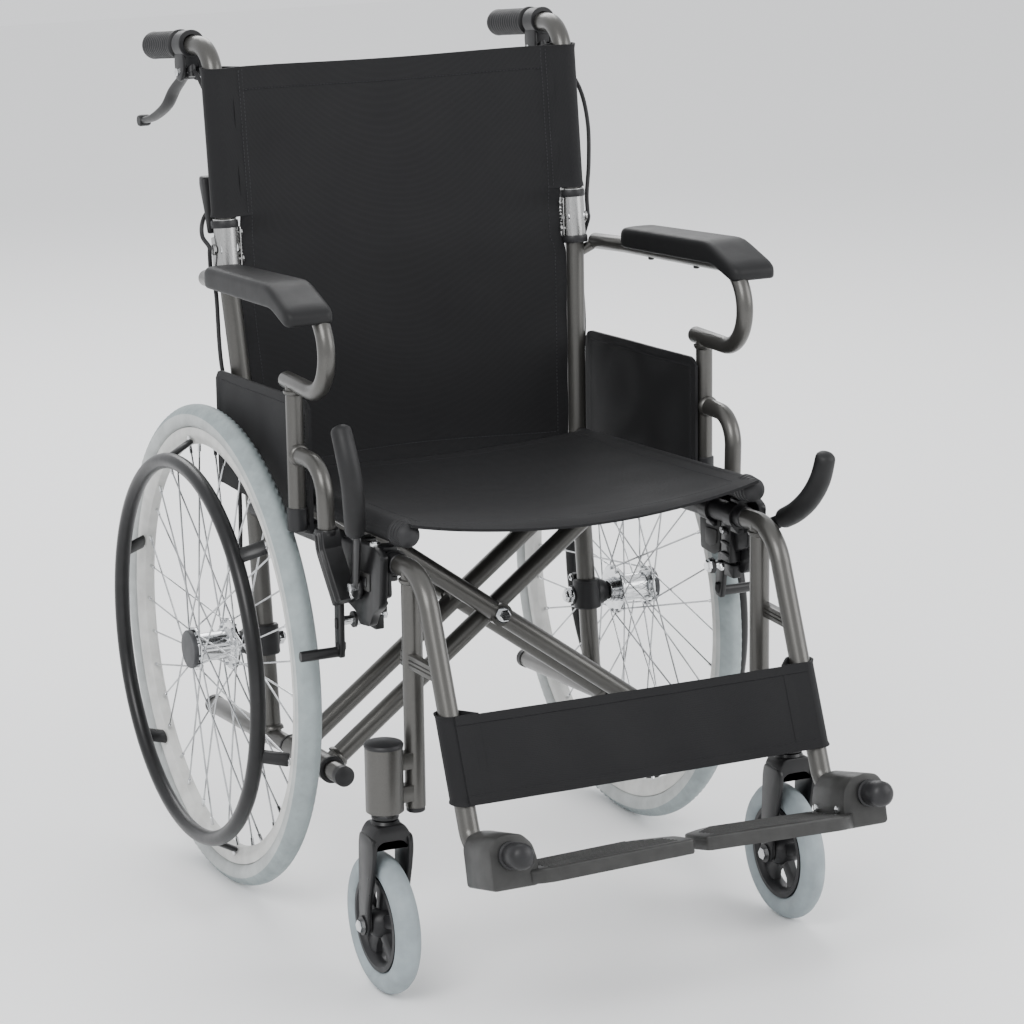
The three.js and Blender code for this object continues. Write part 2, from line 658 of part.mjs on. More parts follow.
// Each tube's end is coped to the seat rail, so that none of it hangs below the weld.
function crossArm(frontTube, rearTube) {
  const sleeve = [-FRAME_X, 0];
  const bar = (y) => rod([sleeve[0], y, sleeve[1]], [SEAT_X, y, BRACE_HEIGHT], TUBE_R);
  const rail = rod([SEAT_X, SEAT_FRONT, BRACE_HEIGHT], [SEAT_X, SEAT_REAR, BRACE_HEIGHT], TUBE_R);
  const pivot = rod([sleeve[0], frontTube - 13, 0], [sleeve[0], rearTube + 13, 0], 15);
  const underRail = box(SEAT_X - TUBE_R, SEAT_X + 20, SEAT_FRONT, SEAT_REAR, BRACE_HEIGHT - 40, BRACE_HEIGHT - 3);
  const bore = rod([sleeve[0], -400, 0], [sleeve[0], 100, 0], around(TUBE_R));
  const bolt = rod([0, -400, BRACE_MID], [0, 100, BRACE_MID], around(PIVOT_BOLT_R));
  const bars = cut(join(bar(frontTube), bar(rearTube)), underRail);
  return cut(join(rail, pivot).add(bars), bore, bolt);
}

function crossPivot() {
  const reach = TUBE_R + 0.8;
  const front = ARM_B[0] - reach;
  const rear = ARM_B[1] + reach;
  const shaft = rod([0, front - 1, BRACE_MID], [0, rear + 1, BRACE_MID], PIVOT_BOLT_R);
  const head = rod([0, front - 6, BRACE_MID], [0, front, BRACE_MID], 8, 6);
  const nut = rod([0, rear, BRACE_MID], [0, rear + 6, BRACE_MID], 8, 6);
  return join(shaft, head, nut);
}

// From the brace's own frame to the chair: the rails' slope, then up to the bottom rail.
const onRails = (g) => asGeometry(g).rotateX(-SLOPE_ANGLE).translate(0, 0, bottomZ(0));

// ---------------------------------------------------------------- assembly
const chair = new THREE.Group();
chair.position.y = AXLE_Y;

function add(name, geometry, look) {
  const mesh = new THREE.Mesh(asGeometry(geometry), new THREE.MeshStandardMaterial(look));
  mesh.name = name;
  chair.add(mesh);
}

const sidePieces = [
  ['side_frame', sideFrame(), paint],
  ['armrest_tube', armrestTube(), paint],
  ['armrest_pad', armrestPad(), blackPlastic],
  ['skirt_panel', skirtPanel(), fabric],
  ['brake_bracket', brakeBracket(), blackPlastic],
  ['back_cane', join(asGeometry(backCane()), asGeometry(leverClamp())), paint],
  ['fold_bracket', foldBracket(), chrome],
  ['release_lever', releaseLever(), blackPlastic],
  ['push_grip', pushGrip(), rubber],
  ['attendant_lever', attendantLever(), blackPlastic],
  ['brake_cable_lower', cableLower(), rubber],
  ['axle_clamp', axleClamp(), blackPlastic],
  ['rear_axle', rearAxle(), chrome],
  ['rear_tyre', rearTyre(), greyTyre],
  ['rear_rim', rearRim(), greyPlastic],
  ['rear_hub', rearHub(), chrome],
  ['handrim', handrim(), blackPlastic],
  ['caster_fork', casterFork(), blackPlastic],
  ['caster_wheel', casterWheel(), blackPlastic],
  ['caster_tyre', casterTyre(), greyTyre],
  ['footplate', footplate(), blackPlastic],
  ['seat_half', seatHalf(), fabric],
  ['back_upper_half', backHalf(CANE_X - 28, HINGE_Z + 12, BACK_TOP), fabric],
  ['back_lower_half', backHalf(FRAME_X - 14, BACK_BOTTOM, HINGE_Z - 15), fabric],
  ['calf_half', calfHalf(), fabric],
];

for (const [name, piece, look] of sidePieces) {
  const geometry = asGeometry(piece);
  add(`${name}_left`, geometry, look);
  add(`${name}_right`, mirrored(geometry), look);
}

add('brake_lever_left', brakeLever(), rubber);
add('brake_lever_right', mirrored(turnedAbout(BRAKE_PIVOT, LEVER_BACK, brakeLever())), rubber);
add('brake_shoe_left', turnedAbout(SHOE_PIVOT, SHOE_HALF, brakeShoe()), blackPlastic);
add('brake_shoe_right', mirrored(asGeometry(brakeShoe())), blackPlastic);
add('brake_cable_upper_left', cableUpperLeft(), rubber);
add('brake_cable_upper_right', mirrored(cableUpperRight()), rubber);

add('cross_arm_a', onRails(crossArm(...ARM_A)), paint);
add('cross_arm_b', mirrored(onRails(crossArm(...ARM_B))), paint);
add('cross_pivot', onRails(crossPivot()), chrome);

export default chair;
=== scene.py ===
"""Looks of a folding manual wheelchair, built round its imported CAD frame.

Lengths are millimetres from the middle of the rear axle's line, on the floor: +Z up, -Y towards the
front, +X towards the seated user's left. Each piece is made for the left side and mirrored.
"""

import math

import bmesh
import bpy
import numpy as np
from mathutils import Matrix, Vector


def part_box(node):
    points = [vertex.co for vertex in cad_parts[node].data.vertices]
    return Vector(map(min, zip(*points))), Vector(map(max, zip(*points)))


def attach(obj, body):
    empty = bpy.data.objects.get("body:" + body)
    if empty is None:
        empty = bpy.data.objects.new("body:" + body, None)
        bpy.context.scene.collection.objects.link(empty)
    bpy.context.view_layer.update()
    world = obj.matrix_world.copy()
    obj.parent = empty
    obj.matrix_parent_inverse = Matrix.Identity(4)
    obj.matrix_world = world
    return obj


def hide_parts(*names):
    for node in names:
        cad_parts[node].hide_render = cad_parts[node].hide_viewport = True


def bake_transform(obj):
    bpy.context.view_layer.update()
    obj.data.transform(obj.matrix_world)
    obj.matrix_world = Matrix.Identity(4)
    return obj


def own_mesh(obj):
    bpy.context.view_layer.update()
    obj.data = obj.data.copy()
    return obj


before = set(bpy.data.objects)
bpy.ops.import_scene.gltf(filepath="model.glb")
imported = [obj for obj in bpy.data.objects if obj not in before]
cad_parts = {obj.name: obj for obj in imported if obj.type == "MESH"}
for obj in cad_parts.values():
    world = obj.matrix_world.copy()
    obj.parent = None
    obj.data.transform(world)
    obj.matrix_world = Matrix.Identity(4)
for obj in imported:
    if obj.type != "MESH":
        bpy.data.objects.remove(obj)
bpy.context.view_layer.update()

# ---------------------------------------------------------------- driving dimensions
MM = 0.001
AXLE_Y = sum(c.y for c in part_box("rear_axle_left")) / 2  # metres, row frame
WHEEL_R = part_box("rear_tyre_left")[1].z / 2 / MM
WHEEL_X = sum(c.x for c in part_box("rear_tyre_left")) / 2 / MM
CASTER_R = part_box("caster_tyre_left")[1].z / 2 / MM
CASTER_X = sum(c.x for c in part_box("caster_tyre_left")) / 2 / MM

TUBE_R = 11
FRAME_X = 209
CANE_X = 221
SEAT_X = 207
RAIL_SLOPE = 0.062
CANE_LEAN = 0.117
HINGE_Z = 733
BACK_TOP = 937
BACK_BOTTOM = 457
SEAT_FRONT = -426
SEAT_REAR = -28
SEAT_BACK = -12  # the rear edge of the seat's cloth
FOOT_TILT = math.radians(14)
FOOT_CORNER = (-571, 199.6)
ARM_X = 252
ARM_LOW = 630
PAD_REAR = -39
PAD_FRONT = -316
CASTER_Y = -432
CASTER_AXLE = CASTER_Y + 10
LEG_LEAN = 53 / 128


def top_z(y):
    return 463 - RAIL_SLOPE * (y + 405)


def seat_z(y):
    return 499 - RAIL_SLOPE * (y + 426)


def bottom_z(y):
    return 166 - RAIL_SLOPE * y


def cane_y(z):
    return -8 + CANE_LEAN * (z - 280)


def row(p, flip=False):
    """A point of this script's frame as a point of the row frame, in metres."""
    x = -p[0] if flip else p[0]
    return (x * MM, p[1] * MM + AXLE_Y, p[2] * MM)


# ---------------------------------------------------------------- shapes
class Shape:
    """Closed surfaces gathered for one object, with a finish number on each face."""

    def __init__(self):
        self.points = []
        self.faces = []
        self.finishes = []

    def add(self, points, faces, finish=0):
        base = len(self.points)
        self.points += [tuple(float(c) for c in p) for p in points]
        self.faces += [tuple(base + i for i in f) for f in faces]
        self.finishes += [finish] * len(faces)


def loft(shape, rings, finish=0, closed=False):
    """Joins rings of equal length, with flat ends unless the rings close on themselves."""
    n, m = len(rings), len(rings[0])
    points = [p for ring in rings for p in ring]
    faces = []
    for i in range(n if closed else n - 1):
        j = (i + 1) % n
        for k in range(m):
            l = (k + 1) % m
            faces.append((i * m + k, i * m + l, j * m + l, j * m + k))
    if not closed:
        faces.append(tuple(range(m))[::-1])
        faces.append(tuple(range((n - 1) * m, n * m)))
    shape.add(points, faces, finish)


def unit(v):
    v = np.array(v, float)
    return v / np.linalg.norm(v)


def turn(v, axis, angle):
    v, axis = np.array(v, float), unit(axis)
    c, s = math.cos(angle), math.sin(angle)
    return v * c + np.cross(axis, v) * s + axis * (axis @ v) * (1 - c)


def route(corners, radii=40, step=6):
    """Stations and directions along straight legs joined by round bends."""
    pts = [np.array(p, float) for p in corners]
    points, tangents = [pts[0]], [unit(pts[1] - pts[0])]
    for i in range(1, len(pts) - 1):
        into, out = unit(pts[i] - pts[i - 1]), unit(pts[i + 1] - pts[i])
        bend = math.acos(max(-1, min(1, into @ out)))
        if bend < 0.01:
            continue
        axis = unit(np.cross(into, out))
        r = radii[i - 1] if isinstance(radii, (list, tuple)) else radii
        start = pts[i] - into * r * math.tan(bend / 2)
        centre = start + np.cross(axis, into) * r
        steps = max(2, math.ceil(math.degrees(bend) / step))
        for k in range(steps + 1):
            points.append(centre + turn(start - centre, axis, bend * k / steps))
            tangents.append(turn(into, axis, bend * k / steps))
    points.append(pts[-1])
    tangents.append(unit(pts[-1] - pts[-2]))
    return points, tangents


def smooth_route(corners, count=60):
    """Stations and directions along a smooth curve through the corners."""
    p = np.array(corners, float)
    p = np.vstack([2 * p[0] - p[1], p, 2 * p[-1] - p[-2]])
    points = []
    spans = len(corners) - 1
    for k in range(count + 1):
        t = k / count * spans
        i = min(int(t), spans - 1)
        t -= i
        a, b, c, d = p[i : i + 4]
        points.append(
            0.5 * (
                2 * b + (c - a) * t + (2 * a - 5 * b + 4 * c - d) * t**2 + (3 * b - a - 3 * c + d) * t**3
            )
        )
    return points, [unit(v) for v in np.gradient(np.array(points), axis=0)]


def circle(rx, ry=None, sides=24):
    ry = rx if ry is None else ry
    angles = [2 * math.pi * (k + 0.5) / sides for k in range(sides)]
    return [(rx * math.cos(a), ry * math.sin(a)) for a in angles]


# An end as (distance inwards from the end, share of the section) pairs, from the tip on.
FLAT = [(0.0, 0.9), (0.1, 1.0)]
DOME = [(0.6 * (1 - math.sin(math.radians(a))), math.cos(math.radians(a))) for a in (80, 60, 40, 20, 0)]


def sweep(shape, path, section, finish=0, ends=(FLAT, FLAT), side=None, sizes=None):
    """Sweeps a section of (across, up) pairs along a path. side is the across direction at the start."""
    points, tangents = path
    size = max(math.hypot(u, v) for u, v in section)
    t = tangents[0]
    hint = (1, 0, 0) if side is None and abs(t[0]) < 0.9 else (side if side is not None else (0, 1, 0))
    across = unit(np.array(hint, float) - t * (np.array(hint, float) @ t))
    stations = []
    for i, (p, t) in enumerate(zip(points, tangents)):
        across = unit(across - t * (across @ t))
        stations.append((np.array(p), across, np.cross(t, across), 1 if sizes is None else sizes[i]))

    def ring(station, shift, share):
        p, a, b, k = station
        return [p + shift + (a * u + b * v) * k * share for u, v in section]

    first, last = tangents[0], tangents[-1]
    steps = np.linalg.norm(np.diff(np.array(points, float), axis=0), axis=1)
    travelled = np.concatenate([[0], np.cumsum(steps)])
    begin, stop = ends[0][-1][0] * size, travelled[-1] - ends[1][-1][0] * size
    rings = [ring(stations[0], first * d * size, k) for d, k in ends[0]]
    rings += [ring(s, 0, 1) for s, at in zip(stations, travelled) if begin < at < stop]
    rings += [ring(stations[-1], -last * d * size, k) for d, k in ends[1][::-1]]
    loft(shape, rings, finish)


def rod(shape, a, b, r, finish=0, sides=24, ends=(FLAT, FLAT)):
    sweep(shape, route([a, b]), circle(r, sides=sides), finish, ends)


def tube(shape, corners, radii=40, r=TUBE_R, finish=0, ends=(FLAT, FLAT)):
    sweep(shape, route(corners, radii), circle(r, sides=32), finish, ends)


def turned(shape, profile, origin, axis, finish=0, sides=48, closed=False):
    """A solid of revolution. profile holds (distance along the axis, radius) pairs."""
    axis = unit(axis)
    a = unit(np.cross(axis, (0, 0, 1) if abs(axis[2]) < 0.9 else (1, 0, 0)))
    b = np.cross(axis, a)
    rings = []
    for along, r in profile:
        centre = np.array(origin, float) + axis * along
        angles = [2 * math.pi * k / sides for k in range(sides)]
        rings.append([centre + (a * math.cos(t) + b * math.sin(t)) * max(r, 0.01) for t in angles])
    loft(shape, rings, finish, closed)


def rounded(outline, radius, steps=4):
    """The outline with each corner rounded."""
    out = []
    n = len(outline)
    for i in range(n):
        p = np.array(outline[i], float)
        a, b = np.array(outline[i - 1], float) - p, np.array(outline[(i + 1) % n], float) - p
        r = radius[i] if isinstance(radius, (list, tuple)) else radius
        reach = min(r, 0.45 * np.linalg.norm(a), 0.45 * np.linalg.norm(b))
        a, b = p + unit(a) * reach, p + unit(b) * reach
        for k in range(steps + 1):
            t = k / steps
            out.append(tuple((1 - t) ** 2 * a + 2 * t * (1 - t) * p + t**2 * b))
    return out


def turned_about(shape, pivot, degrees):
    """The shape, turned about an axle along X through pivot, a (y, z) pair."""
    y, z = pivot
    c, s = math.cos(math.radians(degrees)), math.sin(math.radians(degrees))
    shape.points = [
        (p[0], y + (p[1] - y) * c - (p[2] - z) * s, z + (p[1] - y) * s + (p[2] - z) * c)
        for p in shape.points
    ]
    return shape


def inset(outline, d):
    """The outline moved inwards by d."""
    pts = np.array(outline, float)
    area = np.sum(pts[:, 0] * np.roll(pts[:, 1], -1) - np.roll(pts[:, 0], -1) * pts[:, 1])
    after, before = np.roll(pts, -1, 0) - pts, pts - np.roll(pts, 1, 0)
    both = after / np.maximum(np.linalg.norm(after, axis=1), 1e-9)[:, None]
    both = both + before / np.maximum(np.linalg.norm(before, axis=1), 1e-9)[:, None]
    both /= np.maximum(np.linalg.norm(both, axis=1), 1e-9)[:, None]
    inward = np.stack([-both[:, 1], both[:, 0]], 1) * (1 if area > 0 else -1)
    return [tuple(p) for p in pts + inward * d]


PLANES = {"yz": lambda u, v, w: (w, u, v), "xz": lambda u, v, w: (u, w, v), "xy": lambda u, v, w: (u, v, w)}


def slab(shape, outline, plane, low, high, bevel=1.0, finish=0, place=None):
    """An outline in a plane, made thick from low to high across it, with rounded edges."""
    put = PLANES[plane]
    levels = [(low, bevel), (low + 0.3 * bevel, 0.3 * bevel), (low + bevel, 0)]
    levels += [(high - bevel, 0), (high - 0.3 * bevel, 0.3 * bevel), (high, bevel)]
    rings = [[put(u, v, w) for u, v in inset(outline, d)] for w, d in levels]
    if place is not None:
        rings = [[place(p) for p in ring] for ring in rings]
    loft(shape, rings, finish)


def block(shape, lo, hi, bevel=1.0, finish=0, corner=2.0):
    outline = [(lo[1], lo[2]), (hi[1], lo[2]), (hi[1], hi[2]), (lo[1], hi[2])]
    slab(shape, rounded(outline, corner), "yz", lo[0], hi[0], bevel, finish)


def bolt(shape, at, axis, r=5, height=4, finish=0, sides=6):
    turned(
        shape, [(0, 0), (0, r), (height * 0.75, r), (height, r * 0.8), (height, 0)], at, axis, finish,
        sides,
    )


def weld(shape, at, axis, r=TUBE_R, finish=0):
    """The bead round a tube where it meets another."""
    turned(
        shape, [(-2, r - 2), (-2, r + 2.6), (0.5, r + 2.2), (2.5, r + 0.9), (4, r - 2)], at, axis, finish,
    )


def coil(shape, a, b, r, wire, turns, finish=0):
    """A helical spring from a to b."""
    a, b = np.array(a, float), np.array(b, float)
    axis = unit(b - a)
    u = unit(np.cross(axis, (1, 0, 0)))
    v = np.cross(axis, u)
    count = turns * 14
    points = []
    for k in range(count + 1):
        t = 2 * math.pi * turns * k / count
        points.append(a + (b - a) * k / count + (u * math.cos(t) + v * math.sin(t)) * r)
    tangents = [unit(d) for d in np.gradient(np.array(points), axis=0)]
    sweep(shape, (points, tangents), circle(wire, sides=8), finish, side=u)


def cloth(shape, place, across, down, thickness=1.5, hem=(), finish=0):
    """A thin closed sheet: place(u, v) gives its middle surface, and hem the bands that are folded double.

    across and down are the values of u and v; each hem is (which of u or v, low, high)."""

    def thick(u, v):
        doubled = any(lo <= (u if which == "u" else v) <= hi for which, lo, hi in hem)
        return thickness * (1.9 if doubled else 1.0)

    grid = np.array([[place(u, v) for u in across] for v in down], float)
    du, dv = np.gradient(grid, axis=1), np.gradient(grid, axis=0)
    normal = np.cross(du, dv)
    normal /= np.linalg.norm(normal, axis=2, keepdims=True)
    half = np.array([[thick(u, v) / 2 for u in across] for v in down])[:, :, None]
    front, back = grid + normal * half, grid - normal * half
    n, m = len(down), len(across)
    points = list(front.reshape(-1, 3)) + list(back.reshape(-1, 3))
    faces = []
    for i in range(n - 1):
        for k in range(m - 1):
            a, b, c, d = i * m + k, i * m + k + 1, (i + 1) * m + k + 1, (i + 1) * m + k
            faces.append((a, b, c, d))
            faces.append((n * m + d, n * m + c, n * m + b, n * m + a))
    rim = [k for k in range(m)] + [i * m + m - 1 for i in range(1, n)]
    rim += [(n - 1) * m + k for k in range(m - 2, -1, -1)] + [i * m for i in range(n - 2, 0, -1)]
    for a, b in zip(rim, rim[1:] + rim[:1]):
        faces.append((b, a, a + n * m, b + n * m))
    shape.add(points, faces, finish)


def stitches(shape, place, line, out, finish=0, pitch=4.2, length=2.6, r=0.38):
    """Thread stitches along line, a list of (u, v) ends, lifted off the sheet that place(u, v) gives."""
    ends = [np.array(place(*p), float) for p in line]
    count = max(2, int(sum(np.linalg.norm(b - a) for a, b in zip(ends, ends[1:])) / pitch))
    uv = np.array(line, float)
    for k in range(count):
        t = (k + 0.5) / count * (len(line) - 1)
        i = min(int(t), len(line) - 2)
        p = uv[i] + (uv[i + 1] - uv[i]) * (t - i)
        q = p + (uv[i + 1] - uv[i]) * 0.01
        a, b = np.array(place(*p), float), np.array(place(*q), float)
        d = unit(b - a) * length / 2
        lift = np.array(out, float)
        rod(shape, a - d + lift, a + d + lift, r, finish, sides=6, ends=(DOME, DOME))


def spread(low, high, count, breaks=()):
    """Even values from low to high, with a close pair at each break, so a hem's step is crisp."""
    values = list(np.linspace(low, high, count))
    for b in breaks:
        values += [b - 0.35, b + 0.35]
    return sorted(v for v in set(values) if min(low, high) <= v <= max(low, high))


# ---------------------------------------------------------------- finishes
class Finish:
    """A node material with short ways to add its textures."""

    def __init__(self, name, colour, roughness, metal=0.0, **sockets):
        self.material = bpy.data.materials.new(name)
        self.material.use_nodes = True
        self.nodes = self.material.node_tree.nodes
        self.links = self.material.node_tree.links
        self.shader = self.nodes["Principled BSDF"]
        self.shader.inputs["Base Color"].default_value = (*colour, 1)
        self.shader.inputs["Roughness"].default_value = roughness
        self.shader.inputs["Metallic"].default_value = metal
        for key, value in sockets.items():
            self.shader.inputs[key.replace("_", " ")].default_value = value
        self.place = self.nodes.new("ShaderNodeTexCoord").outputs["Object"]
        self.height = None
        self.colour = colour

    def noise(self, scale, detail=2.0, stretch=None):
        node = self.nodes.new("ShaderNodeTexNoise")
        node.inputs["Scale"].default_value = scale
        node.inputs["Detail"].default_value = detail
        self.links.new(self.stretched(stretch), node.inputs["Vector"])
        return node.outputs["Fac"]

    def cells(self, scale, feature="F1", stretch=None):
        node = self.nodes.new("ShaderNodeTexVoronoi")
        node.feature = feature
        node.inputs["Scale"].default_value = scale
        self.links.new(self.stretched(stretch), node.inputs["Vector"])
        return node.outputs["Distance"]

    def bands(self, scale, direction):
        node = self.nodes.new("ShaderNodeTexWave")
        node.bands_direction = direction
        node.inputs["Scale"].default_value = scale
        self.links.new(self.place, node.inputs["Vector"])
        return node.outputs["Fac"]

    def stretched(self, stretch):
        if stretch is None:
            return self.place
        node = self.nodes.new("ShaderNodeMapping")
        node.inputs["Scale"].default_value = stretch
        self.links.new(self.place, node.inputs["Vector"])
        return node.outputs["Vector"]

    def math(self, operation, a, b):
        node = self.nodes.new("ShaderNodeMath")
        node.operation = operation
        for socket, value in zip(node.inputs, (a, b)):
            if isinstance(value, (int, float)):
                socket.default_value = value
            else:
                self.links.new(value, socket)
        return node.outputs[0]

    def ramp(self, value, low, high, socket="Roughness"):
        node = self.nodes.new("ShaderNodeMapRange")
        node.inputs["To Min"].default_value = low
        node.inputs["To Max"].default_value = high
        self.links.new(value, node.inputs["Value"])
        self.links.new(node.outputs["Result"], self.shader.inputs[socket])
        return self

    def tint(self, value, dark, light, low=0.35, high=0.65):
        node = self.nodes.new("ShaderNodeValToRGB")
        node.color_ramp.elements[0].position = low
        node.color_ramp.elements[1].position = high
        node.color_ramp.elements[0].color = (*[c * dark for c in self.colour], 1)
        node.color_ramp.elements[1].color = (*[c * light for c in self.colour], 1)
        self.links.new(value, node.inputs["Fac"])
        self.links.new(node.outputs["Color"], self.shader.inputs["Base Color"])
        return self

    def bump(self, value, strength, distance=0.0005):
        node = self.nodes.new("ShaderNodeBump")
        node.inputs["Strength"].default_value = strength
        node.inputs["Distance"].default_value = distance
        self.links.new(value, node.inputs["Height"])
        if self.height is not None:
            self.links.new(self.height, node.inputs["Normal"])
        self.height = node.outputs["Normal"]
        self.links.new(self.height, self.shader.inputs["Normal"])
        return self


def paint():
    f = Finish("bronze_grey_paint", (0.078, 0.076, 0.071), 0.36, 0.7, Coat_Weight=0.25, Coat_Roughness=0.2)
    f.tint(f.noise(2200, 1.0), 0.82, 1.22)
    f.ramp(f.noise(38, 3.0), 0.28, 0.42)
    return f.bump(f.noise(420, 2.0), 0.05).material


def nylon():
    f = Finish("black_nylon", (0.0085, 0.0085, 0.0092), 0.7, Specular_IOR_Level=0.15, Sheen_Weight=0.03)
    warp = f.bands(330, "X")
    weft = f.math("MAXIMUM", f.bands(330, "Y"), f.bands(330, "Z"))
    weave = f.math("MULTIPLY", warp, weft)
    f.tint(f.math("MULTIPLY_ADD", weave, 0.4), 0.75, 1.5, 0.2, 0.9)
    f.ramp(f.noise(14, 3.0), 0.55, 0.74)
    f.bump(weave, 0.35, 0.0004)
    return f.bump(f.noise(24, 4.0), 0.25, 0.0012).material


def moulded(name, colour, roughness, grain=900, depth=0.12):
    f = Finish(name, colour, roughness, Specular_IOR_Level=0.32)
    f.tint(f.noise(60, 3.0), 0.85, 1.18)
    f.ramp(f.noise(90, 2.0), roughness - 0.06, roughness + 0.08)
    return f.bump(f.noise(grain, 2.0), depth, 0.0003).material


def pad_skin():
    f = Finish("pad_skin", (0.0105, 0.0105, 0.011), 0.5, Specular_IOR_Level=0.22)
    f.ramp(f.noise(50, 3.0), 0.44, 0.58)
    return f.bump(f.cells(620, "DISTANCE_TO_EDGE"), 0.16, 0.0003).material


def tyre_rubber(name, colour):
    f = Finish(name, colour, 0.66, Specular_IOR_Level=0.35)
    f.tint(f.noise(45, 4.0), 0.9, 1.08)
    f.ramp(f.noise(120, 2.0), 0.56, 0.74)
    return f.bump(f.noise(1100, 3.0), 0.14, 0.0003).material


def plating(name, colour, roughness, metal=1.0):
    f = Finish(name, colour, roughness, metal)
    f.ramp(f.noise(160, 3.0), roughness * 0.7, roughness * 1.6)
    f.tint(f.noise(70, 3.0), 0.86, 1.08)
    return f.bump(f.noise(240, 3.0), 0.06, 0.0003).material


def brushed():
    f = Finish("brushed_steel", (0.4, 0.4, 0.395), 0.27, 1.0)
    grain = f.noise(300, 2.0, stretch=(6, 6, 0.25))
    f.ramp(grain, 0.22, 0.34)
    f.tint(grain, 0.9, 1.06)
    return f.bump(grain, 0.04, 0.0002).material


PAINT = paint()
NYLON = nylon()
THREAD = moulded("black_thread", (0.022, 0.022, 0.025), 0.6, 2000, 0.2)
PLASTIC = moulded("black_plastic", (0.0125, 0.0125, 0.0135), 0.42)
BLACK_STEEL = moulded("black_powder_coat", (0.0095, 0.0095, 0.01), 0.3, 700, 0.08)
GRIP = moulded("soft_black_rubber", (0.0075, 0.0075, 0.008), 0.5, 1400, 0.15)
RUBBER = moulded("black_rubber", (0.014, 0.014, 0.015), 0.55, 1400, 0.2)
FOOT = moulded("dark_grey_moulding", (0.028, 0.028, 0.027), 0.42, 800, 0.1)
CAP_GREY = moulded("hub_cap_grey", (0.05, 0.051, 0.054), 0.5, 900, 0.1)
PAD = pad_skin()
TYRE = tyre_rubber("grey_tyre", (0.43, 0.45, 0.445))
TREAD = tyre_rubber("grey_tread", (0.27, 0.31, 0.315))
CASTER_TYRE = tyre_rubber("blue_grey_tyre", (0.26, 0.3, 0.315))
RIM = tyre_rubber("off_white_rim", (0.62, 0.62, 0.6))
CHROME = plating("bright_plating", (0.72, 0.73, 0.74), 0.13)
SPOKE = plating("spoke_steel", (0.5, 0.51, 0.52), 0.2)
STEEL = brushed()

# ---------------------------------------------------------------- objects
made = {}


def build(name, shape, looks, body, nodes=(), flip=False, sharp=38):
    """Makes an object of a shape, rides it on its body and hides the CAD nodes it stands for."""
    mesh = bpy.data.meshes.new(name)
    mesh.from_pydata([row(p, flip) for p in shape.points], [], shape.faces)
    for look in looks:
        mesh.materials.append(look)
    mesh.polygons.foreach_set("material_index", shape.finishes)
    edit = bmesh.new()
    edit.from_mesh(mesh)
    bmesh.ops.recalc_face_normals(edit, faces=edit.faces)
    edit.to_mesh(mesh)
    edit.free()
    mesh.shade_smooth()
    mesh.set_sharp_from_angle(angle=math.radians(sharp))
    piece = bpy.data.objects.new(name, mesh)
    bpy.context.scene.collection.objects.link(piece)
    if body:
        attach(piece, body)
    if nodes:
        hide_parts(*nodes)
    made[name] = piece
    return piece


def pair(name, shape, looks, body, nodes=(), sharp=38):
    """Makes a piece for both sides. {} in a name stands for left or right."""
    for side in ("left", "right"):
        build(
            f"{name}_{side}", shape, looks, body.format(side), [n.format(side) for n in nodes],
            side == "right", sharp,
        )


# ---------------------------------------------------------------- side frame
def stub_point(distance):
    """A point on the footplate's axle, from the hanger's lower corner forwards."""
    y, z = FOOT_CORNER
    return (FRAME_X, y - distance * math.cos(FOOT_TILT), z + distance * math.sin(FOOT_TILT))


def side_frame():
    s = Shape()
    x = FRAME_X
    corner = -460.4
    hanger = [(x, 8, top_z(8)), (x, corner, top_z(corner)), (x, *FOOT_CORNER), stub_point(94)]
    tube(s, hanger, (55, 25))
    post = [
        (x, cane_y(164), 164), (x, cane_y(480), 480), (CANE_X, cane_y(695), 695),
        (CANE_X, cane_y(716), 716),
    ]
    tube(s, post, (150, 60), ends=(DOME, FLAT))
    tube(s, [(x, 168, bottom_z(168)), (x, -236, bottom_z(-236))], ends=(DOME, DOME))
    tube(s, [(x, -429, top_z(-429)), (x, -429, 204)])
    edge = [
        (4.5, -7.4), (4.5, -3.2), (3.2, -2.2), (4.5, -1.2), (4.5, 1.2), (3.2, 2.2), (4.5, 3.2), (4.5, 7.4),
        (2.6, 8.4),
    ]
    crossbar = edge + [(-u, -v) for u, v in edge]
    sweep(s, route([(x + 5, -417, 367), (x + 1, -501, 367)]), crossbar)
    rod(s, (x, -429, 199.5), (x, -429, 208), 10.2, 1, ends=(FLAT, FLAT))
    rod(s, (x, 4, top_z(4)), (x, -402, top_z(-402)), TUBE_R + 0.9, 1, sides=32)
    for y, way in ((168, 1), (-236, -1)):
        turned(
            s, [(-9, 10), (-9, 11.7), (0, 11.7), (2.5, 8), (3.2, 0)], (x, y, bottom_z(y)),
            (0, way, -way * RAIL_SLOPE), 1,
        )
    weld(s, (x, -429, top_z(-429) - 12), (0, 0, -1))
    weld(s, (x, cane_y(168), bottom_z(-20) + 12), (0, 0.1, 1))
    return s


def caster_housing():
    s = Shape()
    x, y = CASTER_X, CASTER_Y
    turned(s, [(0, 0), (0, 18.6), (1.4, 20.4), (72, 20.4), (73.5, 19), (73.5, 0)], (x, y, 205), (0, 0, 1))
    turned(s, [(0, 0), (0, 20.9), (2.5, 21.3), (4.4, 20), (5.6, 16), (6.2, 0)], (x, y, 277), (0, 0, 1), 1)
    for z in (222, 258):
        slab(
            s, rounded([(FRAME_X, y - 6), (x - 8, y - 8), (x - 8, y + 10), (FRAME_X, y + 8)], 2), "xy",
            z - 9, z + 9, 1,
        )
    return s


